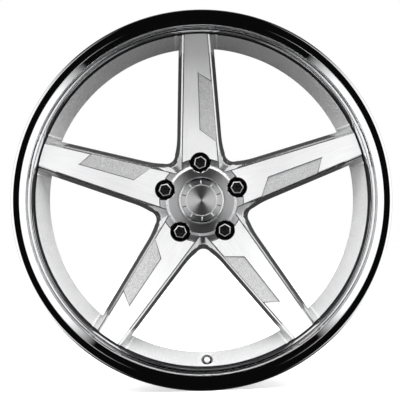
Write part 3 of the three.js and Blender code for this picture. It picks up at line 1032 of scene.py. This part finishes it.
# %% Node helpers
def add_node(tree, kind, inputs=None, **options):
    """Adds a node, sets its options, and links or fills its inputs."""
    made = tree.nodes.new("ShaderNode" + kind)
    for option, value in options.items():
        setattr(made, option, value)
    for socket, value in (inputs or {}).items():
        if isinstance(value, bpy.types.NodeSocket):
            tree.links.new(value, made.inputs[socket])
        else:
            made.inputs[socket].default_value = value
    return made


def calc(tree, operation, *values):
    """The output of a Math node."""
    return add_node(tree, "Math", dict(enumerate(values)), operation=operation).outputs[0]


def vector_calc(tree, operation, *values):
    """The vector output of a Vector Math node."""
    return add_node(tree, "VectorMath", dict(enumerate(values)), operation=operation).outputs[0]


def spread(tree, value, low, high, to_low, to_high):
    """Maps a value from one range to another, held at both ends."""
    inputs = {"Value": value, 1: low, 2: high, 3: to_low, 4: to_high}
    return add_node(tree, "MapRange", inputs).outputs[0]


def group(name, inputs, outputs):
    """An empty node group with named sockets; returns it with its input and output nodes."""
    tree = bpy.data.node_groups.new(name, "ShaderNodeTree")
    for label, default in inputs.items():
        socket = tree.interface.new_socket(label, in_out="INPUT", socket_type="NodeSocketFloat")
        socket.default_value = default
    for label, kind in outputs.items():
        tree.interface.new_socket(label, in_out="OUTPUT", socket_type="NodeSocket" + kind)
    return tree, tree.nodes.new("NodeGroupInput").outputs, tree.nodes.new("NodeGroupOutput").inputs


def place_group(tree, made, **values):
    """Places a node group in a material and sets its inputs; returns its outputs."""
    placed = tree.nodes.new("ShaderNodeGroup")
    placed.node_tree = made
    for label, value in values.items():
        placed.inputs[label.replace("_", " ")].default_value = value
    return placed.outputs


def object_position(tree):
    """The Object coordinates in millimetres, and their three parts."""
    coordinates = add_node(tree, "TexCoord").outputs["Object"]
    scaled = add_node(tree, "VectorMath", {0: coordinates, "Scale": 1 / MM}, operation="SCALE")
    parts = add_node(tree, "SeparateXYZ", {0: scaled.outputs[0]}).outputs
    return scaled.outputs[0], parts[0], parts[1], parts[2]


def from_axle(tree, x, z):
    """The distance from the axle, from the parts of a position."""
    squares = calc(tree, "MULTIPLY", x, x), calc(tree, "MULTIPLY", z, z)
    return calc(tree, "SQRT", calc(tree, "ADD", *squares))


print("node helpers ready")

# %% [markdown]
# ### Turned marks
# A lathe tool leaves fine rings round the axle. A one-dimensional noise along the radius gives
# rings of uneven depth, as a real cut has.

# %% Group: turned marks
turned_marks, given, result = group(
    "turned marks", {"Rings per mm": 4.0, "Contrast": 0.2}, {"Height": "Float", "Shade": "Float"}
)
_, x, _, z = object_position(turned_marks)
radius = from_axle(turned_marks, x, z)
spaced = calc(turned_marks, "MULTIPLY", radius, given["Rings per mm"])
rings = add_node(
    turned_marks, "TexNoise", {"W": spaced, "Scale": 1.0, "Detail": 3.0}, noise_dimensions="1D"
).outputs["Fac"]
turned_marks.links.new(rings, result["Height"])
centred = calc(turned_marks, "SUBTRACT", rings, 0.5)
shade = calc(turned_marks, "MULTIPLY_ADD", centred, given["Contrast"], 1.0)
turned_marks.links.new(shade, result["Shade"])
print("group made:", turned_marks.name)

# %% [markdown]
# ### Spoke grain
# The faces are brushed along each spoke. The angle round the axle tells which spoke a point is on,
# and turning the point back by that spoke's angle gives its place along and across the spoke. A
# noise that is squeezed across the spoke and stretched along it makes the brushed lines.

# %% Group: spoke grain
spoke_grain, given, result = group(
    "spoke grain", {"Lines per mm": 3.0, "Contrast": 0.2}, {"Height": "Float", "Shade": "Float"}
)
_, x, _, z = object_position(spoke_grain)
angle = calc(spoke_grain, "ARCTAN2", x, z)
number = calc(spoke_grain, "ROUND", calc(spoke_grain, "DIVIDE", angle, SECTOR))
local = calc(spoke_grain, "SUBTRACT", angle, calc(spoke_grain, "MULTIPLY", number, SECTOR))
radius = from_axle(spoke_grain, x, z)
along = calc(spoke_grain, "MULTIPLY", radius, calc(spoke_grain, "COSINE", local))
across = calc(spoke_grain, "MULTIPLY", radius, calc(spoke_grain, "SINE", local))
place = add_node(
    spoke_grain, "CombineXYZ",
    {
        0: calc(spoke_grain, "MULTIPLY", across, given["Lines per mm"]),
        1: calc(spoke_grain, "MULTIPLY", along, 0.035),
        2: calc(spoke_grain, "MULTIPLY", number, 7.3),
    },
).outputs[0]
lines = add_node(
    spoke_grain, "TexNoise", {"Vector": place, "Scale": 1.0, "Detail": 3.0}
).outputs["Fac"]
spoke_grain.links.new(lines, result["Height"])
centred = calc(spoke_grain, "SUBTRACT", lines, 0.5)
shade = calc(spoke_grain, "MULTIPLY_ADD", centred, given["Contrast"], 1.0)
spoke_grain.links.new(shade, result["Shade"])
print("group made:", spoke_grain.name)

# %% [markdown]
# ### Metal flakes
# Silver wheel paint holds tiny aluminium flakes that lie at slightly different angles. A Voronoi
# texture gives each flake a random colour; that colour tilts the flake's normal and changes its
# shade a little.

# %% Group: metal flakes
metal_flakes, given, result = group(
    "metal flakes", {"Flakes per mm": 1.1, "Tilt": 0.25, "Contrast": 0.15},
    {"Normal": "Vector", "Shade": "Float"},
)
position = object_position(metal_flakes)[0]
flakes = add_node(
    metal_flakes, "TexVoronoi", {"Vector": position, "Scale": given["Flakes per mm"]}
).outputs["Color"]
tilt = vector_calc(metal_flakes, "SUBTRACT", flakes, (0.5, 0.5, 0.5))
tilt = add_node(metal_flakes, "VectorMath", {0: tilt, "Scale": given["Tilt"]}, operation="SCALE")
normal = add_node(metal_flakes, "NewGeometry").outputs["Normal"]
tilted = vector_calc(metal_flakes, "ADD", normal, tilt.outputs[0])
tilted = vector_calc(metal_flakes, "NORMALIZE", tilted)
metal_flakes.links.new(tilted, result["Normal"])
first = add_node(metal_flakes, "SeparateColor", {0: flakes}).outputs[0]
shade = calc(metal_flakes, "MULTIPLY_ADD", calc(metal_flakes, "SUBTRACT", first, 0.5),
             given["Contrast"], 1.0)
metal_flakes.links.new(shade, result["Shade"])
print("group made:", metal_flakes.name)

# %% [markdown]
# ### Edge wear
# Handling polishes sharp edges first. The Bevel node gives the normal of an edge as if it were
# rounded; where it differs from the true normal there is an edge. A noise breaks the wear up.

# %% Group: edge wear
edge_wear, given, result = group(
    "edge wear", {"Width mm": 0.5, "Amount": 0.6}, {"Mask": "Float"}
)
width = calc(edge_wear, "MULTIPLY", given["Width mm"], MM)
soft = add_node(edge_wear, "Bevel", {"Radius": width}, samples=4).outputs[0]
sharp = add_node(edge_wear, "NewGeometry").outputs["Normal"]
match = add_node(
    edge_wear, "VectorMath", {0: soft, 1: sharp}, operation="DOT_PRODUCT"
).outputs["Value"]
edge = spread(edge_wear, match, 0.99, 0.8, 0.0, 1.0)
position = object_position(edge_wear)[0]
patches = add_node(edge_wear, "TexNoise", {"Vector": position, "Scale": 0.35, "Detail": 4.0})
broken = spread(edge_wear, patches.outputs["Fac"], 0.35, 0.6, 0.2, 1.0)
mask = calc(edge_wear, "MULTIPLY", calc(edge_wear, "MULTIPLY", edge, broken), given["Amount"])
edge_wear.links.new(mask, result["Mask"])
print("group made:", edge_wear.name)

# %% [markdown]
# ### Handling marks
# Even a new wheel has been wiped: its gloss is a little uneven, and a faint film of dust settles in
# soft patches. Two noises at different sizes give both.

# %% Group: handling marks
handling, given, result = group(
    "handling marks", {"Patch mm": 30.0}, {"Smudge": "Float", "Dust": "Float", "Hairline": "Float"}
)
position = object_position(handling)[0]
wide = calc(handling, "DIVIDE", 1.0, given["Patch mm"])


def handling_noise(vector, low, high, output, **settings):
    """A noise of its own size, cut to the part between two values, as one output."""
    noise = add_node(handling, "TexNoise", {"Vector": vector, **settings})
    handling.links.new(spread(handling, noise.outputs["Fac"], low, high, 0.0, 1.0), result[output])


handling_noise(position, 0.35, 0.7, "Smudge", Scale=wide, Detail=5.0, Distortion=0.6)
handling_noise(position, 0.5, 0.75, "Dust", Scale=0.5, Detail=6.0, Roughness=0.7)
stretched = add_node(
    handling, "Mapping",
    {"Vector": position, "Scale": (0.08, 2.2, 2.2), "Rotation": (0.3, 0.5, 0.7)},
).outputs[0]
handling_noise(stretched, 0.62, 0.7, "Hairline", Scale=1.0, Detail=2.0)
print("group made:", handling.name)

# %% [markdown]
# ## The finishes
# Each finish is one material. A small function starts it with its own plain values, since a value
# that is the same all over belongs on the shader itself. The nodes then vary its colour, its gloss
# and its surface.


# %% Starting a finish
def finish(name, colour, metallic, roughness, **values):
    """A material with a plain Principled shader; returns it, its tree and its shader inputs."""
    material = bpy.data.materials.new(name)
    material.use_nodes = True
    shader = material.node_tree.nodes["Principled BSDF"].inputs
    shader["Base Color"].default_value = (*colour, 1)
    shader["Metallic"].default_value = metallic
    shader["Roughness"].default_value = roughness
    for label, value in values.items():
        shader[label.replace("_", " ")].default_value = value
    return material, material.node_tree, shader


def shaded(tree, shader, colour, *shades):
    """Multiplies a colour by some shades and links it to Base Color."""
    total = shades[0]
    for shade in shades[1:]:
        total = calc(tree, "MULTIPLY", total, shade)
    tinted = add_node(tree, "VectorMath", {0: colour, "Scale": total}, operation="SCALE").outputs[0]
    tree.links.new(tinted, shader["Base Color"])
    return tinted


def mixed(tree, mask, first, second):
    """Mixes two colours by a mask."""
    return add_node(tree, "Mix", {0: mask, 6: first, 7: second}, data_type="RGBA").outputs[2]


def bumped(tree, shader, height, strength, distance=0.05, normal=None):
    """Links a height to the Normal through a Bump node; the distance is in millimetres."""
    inputs = {"Height": height, "Strength": strength, "Distance": distance * MM}
    if normal:
        inputs["Normal"] = normal
    tree.links.new(add_node(tree, "Bump", inputs).outputs[0], shader["Normal"])


def gloss(tree, shader, low, high, mask):
    """Lets a mask vary the roughness between two values."""
    tree.links.new(spread(tree, mask, 0.0, 1.0, low, high), shader["Roughness"])


print("ready to make finishes")

# %% [markdown]
# ### Polished lip and plated trim
# Polished stainless steel is almost a perfect mirror. Only wiping marks and a trace of the
# polishing rings soften it.

# %% Mirror steel and chrome trim
POLISHED = (0.93, 0.935, 0.945)
CHROME = (0.86, 0.865, 0.875)
mirror_steel, tree, shader = finish("mirror_steel", POLISHED, 1.0, 0.02)
marks = place_group(tree, handling, Patch_mm=45)
rings = place_group(tree, turned_marks, Rings_per_mm=2.5, Contrast=0.02)
shaded(tree, shader, POLISHED, rings["Shade"], spread(tree, marks["Dust"], 0, 1, 1, 0.985))
gloss(tree, shader, 0.015, 0.05, marks["Smudge"])
bumped(tree, shader, rings["Height"], 0.004, 0.01)

chrome_trim, tree, shader = finish("chrome_trim", CHROME, 1.0, 0.06)
marks = place_group(tree, handling, Patch_mm=8)
wear = place_group(tree, edge_wear, Width_mm=0.25, Amount=0.5)
shaded(tree, shader, CHROME, spread(tree, marks["Dust"], 0, 1, 1, 0.93))
gloss(tree, shader, 0.04, 0.14, calc(tree, "MAXIMUM", marks["Smudge"], wear["Mask"]))
bumped(tree, shader, marks["Hairline"], 0.05, 0.01)
print("made:", mirror_steel.name, chrome_trim.name)

# %% [markdown]
# ### Silver paint
# The barrel and the back of the centre carry fine silver paint under a clear coat. One function
# also makes the darker paints of the panels and of the barrel's tyre side, and the near-black
# painted shade on the spokes' walls.

# %% Silver paint, the darker paints and the painted shade of the walls
def painted(name, colour, metallic, roughness, tilt, contrast):
    """Wheel paint with metal flakes under a clear coat."""
    material, tree, shader = finish(
        name, colour, metallic, roughness, Coat_Weight=0.4, Coat_Roughness=0.15
    )
    flakes = place_group(tree, metal_flakes, Flakes_per_mm=1.3, Tilt=tilt, Contrast=contrast)
    marks = place_group(tree, handling, Patch_mm=60)
    wear = place_group(tree, edge_wear, Width_mm=0.6, Amount=0.5)
    dull = spread(tree, marks["Dust"], 0, 1, 1, 0.95)
    bare = spread(tree, wear["Mask"], 0, 1, 1, 1.15)
    shaded(tree, shader, colour, flakes["Shade"], dull, bare)
    gloss(tree, shader, roughness - 0.04, roughness + 0.08, marks["Smudge"])
    bumped(tree, shader, marks["Smudge"], 0.02, 0.05, flakes["Normal"])
    return material


silver_paint = painted("silver_paint", (0.74, 0.74, 0.745), 0.45, 0.34, 0.5, 0.3)
panel_paint = painted("panel_paint", (0.58, 0.58, 0.585), 0.45, 0.36, 0.6, 0.4)
tyre_side_paint = painted("tyre_side_paint", (0.33, 0.33, 0.335), 0.6, 0.4, 0.4, 0.3)
# Near-black paint on the spokes' steep walls and steps: painted shade where the walls fall into
# shadow.
painted_shade_wall = painted("painted_shade_wall", (0.08, 0.08, 0.082), 0.5, 0.4, 0.3, 0.3)
for paint in (silver_paint, panel_paint, tyre_side_paint, painted_shade_wall):
    print("made:", paint.name)

# %% [markdown]
# ### Brushed spoke faces and the bright cuts
# The faces are brushed along the spokes and lacquered. The thin bevel round each face is cut with a
# sharp tool afterwards and stays brighter.

# %% Brushed face and bright cut
BRUSHED = (0.93, 0.93, 0.935)
brushed_face, tree, shader = finish(
    "brushed_face", BRUSHED, 0.45, 0.36, Coat_Weight=0.2, Coat_Roughness=0.2
)
grain = place_group(tree, spoke_grain, Lines_per_mm=2.4, Contrast=0.34)
marks = place_group(tree, handling, Patch_mm=50)
wear = place_group(tree, edge_wear, Width_mm=0.5, Amount=0.5)
shaded(tree, shader, BRUSHED, grain["Shade"], spread(tree, marks["Dust"], 0, 1, 1, 0.97))
gloss(tree, shader, 0.32, 0.44, calc(tree, "MAXIMUM", marks["Smudge"], wear["Mask"]))
bumped(tree, shader, grain["Height"], 0.25, 0.03)

CUT = (0.88, 0.88, 0.885)
bright_cut, tree, shader = finish("bright_cut", CUT, 0.95, 0.2)
rings = place_group(tree, turned_marks, Rings_per_mm=5, Contrast=0.15)
marks = place_group(tree, handling, Patch_mm=25)
shaded(tree, shader, CUT, rings["Shade"], spread(tree, marks["Dust"], 0, 1, 1, 0.95))
gloss(tree, shader, 0.16, 0.28, marks["Smudge"])
bumped(tree, shader, rings["Height"], 0.12, 0.02)
print("made:", brushed_face.name, bright_cut.name)

# %% [markdown]
# ### Turned aluminium
# The hub pad and the cap's dial are turned. Their fine rings stretch every reflection across the
# rings, which draws the bright and dark wedges that a turned disc always shows. The Principled
# shader does this with anisotropy, along a tangent that points straight out from the axle.

# %% Turned aluminium
TURNED = (0.74, 0.74, 0.75)
RING_STRETCH = 1.0


def turned_metal(name, colour, metallic, roughness):
    """Turned aluminium, whose reflections stretch across its rings."""
    material, tree, shader = finish(name, colour, metallic, roughness, Anisotropic=RING_STRETCH)
    rings = place_group(tree, turned_marks, Rings_per_mm=5, Contrast=0.3)
    marks = place_group(tree, handling, Patch_mm=20)
    shaded(tree, shader, colour, rings["Shade"], spread(tree, marks["Dust"], 0, 1, 1, 0.94))
    gloss(tree, shader, roughness, roughness + 0.06, marks["Smudge"])
    bumped(tree, shader, rings["Height"], 0.1, 0.02)
    outwards = vector_calc(tree, "MULTIPLY", object_position(tree)[0], (1, 0, 1))
    tree.links.new(vector_calc(tree, "NORMALIZE", outwards), shader["Tangent"])
    return material


turned_aluminium = turned_metal("turned_aluminium", TURNED, 0.97, 0.36)
turned_dial = turned_metal("turned_dial", (0.97, 0.97, 0.975), 0.98, 0.44)
print("made:", turned_aluminium.name, turned_dial.name)

# %% [markdown]
# ### Plated and black steel, brass, rubber and sealant
# The lug bolts and their rings have a glossy black plating that wears to grey on its edges. The
# hidden socket bolts are zinc plated. The rubber and the sealant are matt.

# %% Black steel
BLACK_PLATING = (0.10, 0.10, 0.105)
black_steel, tree, shader = finish("black_steel", BLACK_PLATING, 0.9, 0.25)
marks = place_group(tree, handling, Patch_mm=6)
wear = place_group(tree, edge_wear, Width_mm=0.35, Amount=0.8)
dusty = mixed(tree, marks["Dust"], (*BLACK_PLATING, 1), (0.13, 0.13, 0.13, 1))
worn = mixed(tree, wear["Mask"], dusty, (0.42, 0.42, 0.43, 1))
tree.links.new(worn, shader["Base Color"])
gloss(tree, shader, 0.2, 0.36, marks["Smudge"])
bumped(tree, shader, marks["Dust"], 0.05, 0.02)

# Near-black matt finish: painted shade in the gap behind the lip, on the lug pockets' walls and on
# the spoke tips' end faces; also the matt black of the lug bolts' forward faces.
MATT_BLACK_AND_SHADE = (0.005, 0.005, 0.0052)
BARE_AND_HIGHLIGHT = (0.85, 0.85, 0.855)
matt_black_and_painted_shade, tree, shader = finish(
    "matt_black_and_painted_shade", MATT_BLACK_AND_SHADE, 0.0, 0.5, Specular_IOR_Level=0.1
)
rings = place_group(tree, metal_flakes, Flakes_per_mm=1.5, Tilt=0.1, Contrast=0.3)
marks = place_group(tree, handling, Patch_mm=10)
shaded(tree, shader, MATT_BLACK_AND_SHADE, rings["Shade"])
gloss(tree, shader, 0.42, 0.6, marks["Smudge"])
bumped(tree, shader, marks["Dust"], 0.1, 0.03)

# Bare steel: the real finish of machined chamfers, rings and the hub's groove, and also a painted
# highlight on the barrel's cheek sides, the dial's top and bottom marks and the valve cap's front.
bare_steel_and_painted_highlight, tree, shader = finish("bare_steel_and_painted_highlight", BARE_AND_HIGHLIGHT, 0.4, 0.3)
marks = place_group(tree, handling, Patch_mm=3)
rings = place_group(tree, turned_marks, Rings_per_mm=4, Contrast=0.15)
shaded(tree, shader, BARE_AND_HIGHLIGHT, rings["Shade"], spread(tree, marks["Dust"], 0, 1, 1, 0.85))
gloss(tree, shader, 0.25, 0.4, marks["Smudge"])
bumped(tree, shader, rings["Height"], 0.1, 0.02)
print("made:", black_steel.name, matt_black_and_painted_shade.name, bare_steel_and_painted_highlight.name)

# %% Zinc, brass, rubber and sealant
zinc_steel, tree, shader = finish("zinc_steel", (0.60, 0.60, 0.61), 1.0, 0.35)
marks = place_group(tree, handling, Patch_mm=5)
wear = place_group(tree, edge_wear, Width_mm=0.3, Amount=0.5)
tone = mixed(tree, marks["Smudge"], (0.56, 0.58, 0.60, 1), (0.66, 0.64, 0.60, 1))
tree.links.new(tone, shader["Base Color"])
gloss(tree, shader, 0.28, 0.45, calc(tree, "MAXIMUM", marks["Dust"], wear["Mask"]))
bumped(tree, shader, marks["Dust"], 0.1, 0.02)

BRASS = (0.69, 0.54, 0.29)
RUBBER = (0.03, 0.03, 0.03)
brass, tree, shader = finish("brass", BRASS, 1.0, 0.3)
marks = place_group(tree, handling, Patch_mm=2)
shaded(tree, shader, BRASS, spread(tree, marks["Smudge"], 0, 1, 1, 0.8))
gloss(tree, shader, 0.22, 0.4, marks["Smudge"])

black_rubber, tree, shader = finish("black_rubber", RUBBER, 0.0, 0.7)
marks = place_group(tree, handling, Patch_mm=4)
shaded(tree, shader, RUBBER, spread(tree, marks["Dust"], 0, 1, 1, 2.2))
gloss(tree, shader, 0.6, 0.8, marks["Smudge"])
bumped(tree, shader, marks["Dust"], 0.3, 0.05)

SEALANT_GREY = (0.015, 0.015, 0.016)
sealant, tree, shader = finish("sealant", SEALANT_GREY, 0.0, 0.55)
marks = place_group(tree, handling, Patch_mm=12)
shaded(tree, shader, SEALANT_GREY, spread(tree, marks["Dust"], 0, 1, 1, 1.3))
gloss(tree, shader, 0.45, 0.65, marks["Smudge"])
bumped(tree, shader, marks["Smudge"], 0.3, 0.2)
print("made:", zinc_steel.name, brass.name, black_rubber.name, sealant.name)

# %% [markdown]
# ## Giving the pieces their finishes
# Most pieces have one finish. The forged centre has eight and the barrel has four, because their
# cuts were finished in different ways and because some faces carry painted shade or painted
# highlight. So their faces are sorted by where they lie and which way they point.


# %% Finishes on pieces
def wear_finish(obj, *materials):
    obj.data.materials.clear()
    for material in materials:
        obj.data.materials.append(material)


SLOT_FINISHES = {
    "mirror_steel": mirror_steel,
    "silver_barrel": silver_paint,
    "black_steel": black_steel,
    "zinc_steel": zinc_steel,
    "turned_aluminium": turned_aluminium,
    "chrome_trim": chrome_trim,
    "brass": brass,
    "black_rubber": black_rubber,
}
for slot_name, material in SLOT_FINISHES.items():
    for obj in pieces[slot_name]:
        wear_finish(obj, material)
wear_finish(frame["nodes"]["lip_sealant_bead"], sealant)


# %% Finishes on the barrel
ON_BARREL = [silver_paint, matt_black_and_painted_shade, bare_steel_and_painted_highlight, tyre_side_paint]


def local_place(face):
    """A face's place in millimetres (across, out, up), its radius and its spoke's angle."""
    across, out, up = face.center.x / MM, -face.center.y / MM, face.center.z / MM
    turn = round(math.atan2(across, up) / SECTOR) * SECTOR
    return across, out, up, math.hypot(across, up), turn


def outwardness(face, across, up):
    """How far a face points away from the axle, from -1 to 1."""
    return (face.normal.x * across + face.normal.z * up) / math.hypot(across, up)


def barrel_finish(face):
    """The finish of one of the barrel's faces."""
    across, out, up, radius, turn = local_place(face)
    # Painted shadow: the gap between the cone and the lip's ledge is painted near-black.
    if 243.0 < radius < 248.4 and 84.0 < out < 96:
        return matt_black_and_painted_shade
    beside = abs(across * math.cos(turn) - up * math.sin(turn))
    sideways = abs(face.normal.x * math.cos(turn) - face.normal.z * math.sin(turn))
    # Painted highlight: the cheeks' sides are given bright bare steel.
    on_cheek = 29.0 < beside < 31.6 and 212 < radius < 243 and out > 40
    if on_cheek and sideways > 0.2:
        return bare_steel_and_painted_highlight
    if outwardness(face, across, up) > 0.2 or face.normal.y > 0.9 or radius > 252:
        return tyre_side_paint
    return silver_paint


def sort_faces(obj, finishes, choose):
    """Gives an object its finishes and each face the one that a function chooses."""
    wear_finish(obj, *finishes)
    counts = [0] * len(finishes)
    for face in obj.data.polygons:
        face.material_index = finishes.index(choose(face))
        counts[face.material_index] += 1
    for material, count in zip(finishes, counts):
        print(obj.name, material.name, "faces:", count)


sort_faces(barrel, ON_BARREL, barrel_finish)


# %% Finishes on the black steel, the valve cap and the dial
def black_steel_finish(face):
    """Bare on the hexagon's chamfer, matt black on what faces forwards, plated elsewhere."""
    out = -face.center.y / MM
    forward = -face.normal.y
    chamfer = HEAD_TOP - HEX_CHAMFER < out < HEAD_TOP and 0.6 < forward < 0.8
    if chamfer and face.area > 2 * MM * MM:
        return bare_steel_and_painted_highlight
    return matt_black_and_painted_shade if forward > 0.95 else black_steel


# Painted highlight: the valve cap's forward faces are bare steel, brighter than the chrome round
# them.
def valve_cap_finish(face):
    return bare_steel_and_painted_highlight if -face.normal.y > 0.7 else chrome_trim


def dial_finish(face):
    """Bright circle and dark marks; the marks at the top and bottom are bare steel as a painted
    highlight.
    """
    radius = math.hypot(face.center.x, face.center.z) / MM
    raised = -face.center.y / MM > 65.48
    if raised and 22.3 < radius < 23.1:
        return bare_steel_and_painted_highlight
    if raised and 23.8 < radius < 29.8:
        painted_highlight_mark = abs(face.center.z) > 0.55 * radius * MM
        return bare_steel_and_painted_highlight if painted_highlight_mark else black_steel
    return turned_dial


for obj in pieces["black_steel"]:
    sort_faces(obj, [black_steel, bare_steel_and_painted_highlight, matt_black_and_painted_shade], black_steel_finish)
sort_faces(valve_cap, [chrome_trim, bare_steel_and_painted_highlight], valve_cap_finish)
sort_faces(cap_dial, [turned_dial, bare_steel_and_painted_highlight, black_steel], dial_finish)


# %% Finishes on the forged centre
ON_CENTRE = [
    silver_paint, brushed_face, bright_cut, turned_aluminium, matt_black_and_painted_shade, painted_shade_wall,
    bare_steel_and_painted_highlight, panel_paint,
]


def centre_finish(face):
    """The finish of one of the forged centre's faces."""
    across, out, up, radius, turn = local_place(face)
    forward = -face.normal.y
    above = out - face_out(radius)
    from_lug = math.hypot(across - LUG_CIRCLE * math.sin(turn), up - LUG_CIRCLE * math.cos(turn))
    # Painted shade: the walls of the deep lug pockets are painted near-black.
    if from_lug < 14.8 and 30.5 < out < 61.2:
        return matt_black_and_painted_shade
    if forward > 0.999 and 34 < radius < 49.7 and out > 61:
        return turned_aluminium
    if 49 < radius < 52.6 and out > 55.5 and forward > 0.3:
        return bare_steel_and_painted_highlight
    # Painted shade: the spoke tips' end faces, which the lip's inner wall reflects, are painted
    # near-black.
    if radius > 214 and outwardness(face, across, up) > 0.8:
        return matt_black_and_painted_shade
    if radius > 216 and above < -1.0:
        return bright_cut if forward > 0.4 else silver_paint
    between = abs(abs(math.atan2(across, up) - turn) - CORNER) * radius
    if 56 < radius < 64 and between < 4.6 and forward > 0.9 and out > 52:
        return turned_aluminium
    if 52.5 < radius < 58 and 55.5 < out < 59 and forward > 0.9:
        return turned_aluminium
    if forward > 0.85 and radius > 61.2 and -0.2 < above < 0.8:
        return brushed_face
    if 0.6 < forward < 0.8 and above > -0.5 and radius > 61:
        return bright_cut
    if forward > 0.9 and -2.0 < above < -0.6 and 80 < radius < 192:
        return panel_paint
    # Painted shade: the steep step below each face and the drafted walls get the near-black paint.
    if -0.3 < forward < 0.85 and above > -2.2 and radius > 56:
        return painted_shade_wall
    if -0.3 < forward < 0.75 and above < -3.2:
        return painted_shade_wall
    if forward > 0.8 and -3.6 < above < -2.1 and radius > 66:
        return bright_cut
    return silver_paint


sort_faces(star, ON_CENTRE, centre_finish)

# %% [markdown]
# ## The studio
# Polished metal shows its surroundings more than itself. So the studio has white walls to the left
# and to the right, a dim grey one behind, dark cloth in front, above and below, and a pale floor.
# The part of each side wall that is near the front reaches further in, so that the brushed faces
# and the dial stay bright. The world shader makes these walls from the direction alone.

# %% World
SIDE_WHITE = 1.15
BACK_GREY = 0.1
DARK_CLOTH = 0.003
world = bpy.data.worlds.new("studio")
bpy.context.scene.world = world
world.use_nodes = True
tree = world.node_tree
background = tree.nodes["Background"]
direction = add_node(tree, "TexCoord").outputs["Generated"]
parts = add_node(tree, "SeparateXYZ", {0: direction}).outputs
sideways = calc(tree, "ABSOLUTE", parts[0])
wide = spread(tree, sideways, 0.62, 0.78, 0.0, SIDE_WHITE)
near = spread(tree, sideways, 0.30, 0.46, 0.0, SIDE_WHITE)
near = calc(tree, "MULTIPLY", near, spread(tree, parts[1], -0.5, -0.7, 0.0, 1.0))
side = calc(tree, "MAXIMUM", wide, near)
behind = spread(tree, parts[1], 0.0, 0.3, 0.0, BACK_GREY)
glow = calc(tree, "MAXIMUM", calc(tree, "MAXIMUM", side, behind), DARK_CLOTH)
to_camera = add_node(tree, "LightPath").outputs["Is Camera Ray"]
seen = add_node(tree, "Mix", {0: to_camera, 2: glow, 3: 1.0}).outputs[0]
tree.links.new(seen, background.inputs["Strength"])
background.inputs["Color"].default_value = (1, 1, 1, 1)
print("world made")

# %% Lights


def softbox(name, place, aim, size, power, in_gloss=False):
    """A large area light that points at a target."""
    lamp = bpy.data.lights.new(name, "AREA")
    lamp.shape = "RECTANGLE"
    lamp.size, lamp.size_y = size
    lamp.energy = power
    obj = bpy.data.objects.new(name, lamp)
    bpy.context.collection.objects.link(obj)
    obj.location = place
    obj.rotation_euler = (Vector(aim) - Vector(place)).to_track_quat("-Z", "Y").to_euler()
    obj.visible_glossy = in_gloss
    obj.visible_camera = False
    return obj


softbox("overhead", (0, -1.2, 2.0), (0, 0, 0), (2.0, 1.4), 84)
softbox("left", (-2.0, -0.9, 1.9), (0, 0, 0), (1.4, 1.6), 76)
softbox("right", (2.0, -0.9, 1.7), (0, 0, 0), (1.4, 1.6), 56)
softbox("front", (0, -3.4, 0.6), (0, 0, 0), (2.4, 1.6), 22)
softbox("back", (0.6, 2.6, 1.4), (0, 0, 0), (2.0, 1.6), 46)
print("lights placed")

# %% Floor
bpy.ops.object.select_all(action="DESELECT")
bpy.ops.mesh.primitive_circle_add(
    vertices=96, radius=6, fill_type="NGON", location=(0, 0, -FLANGE_RADIUS * MM)
)
floor = bpy.context.object
floor.name = "studio_floor"
apply_place(floor)
pale_floor, tree, shader = finish("pale_floor", (0.86, 0.86, 0.86), 0.0, 0.8)
shader["Emission Color"].default_value = (1, 1, 1, 1)
place = object_position(tree)[0]
away = add_node(tree, "VectorMath", {0: place}, operation="LENGTH").outputs["Value"]
tree.links.new(spread(tree, away, 600, 2400, 0.55, 1.0), shader["Emission Strength"])
wear_finish(floor, pale_floor)
floor.visible_glossy = False
floor.visible_diffuse = False
print("floor laid at", round(-FLANGE_RADIUS * MM, 4), "m")

# %% Camera
CAMERA_DISTANCE = 2.6385
CAMERA_LENS = 157
WHEEL_TURN = math.radians(2)
camera_data = bpy.data.cameras.new("camera")
camera = bpy.data.objects.new("camera", camera_data)
bpy.context.collection.objects.link(camera)
camera.location = (0, -CAMERA_DISTANCE, 0)
camera.rotation_euler = (math.pi / 2, WHEEL_TURN, 0)
camera_data.lens = CAMERA_LENS
camera_data.sensor_width = 36
camera_data.shift_x = -1.5 / 400
camera_data.shift_y = 0.3 / 400
bpy.context.scene.camera = camera
bpy.context.scene.view_settings.view_transform = "Standard"
print("camera placed")
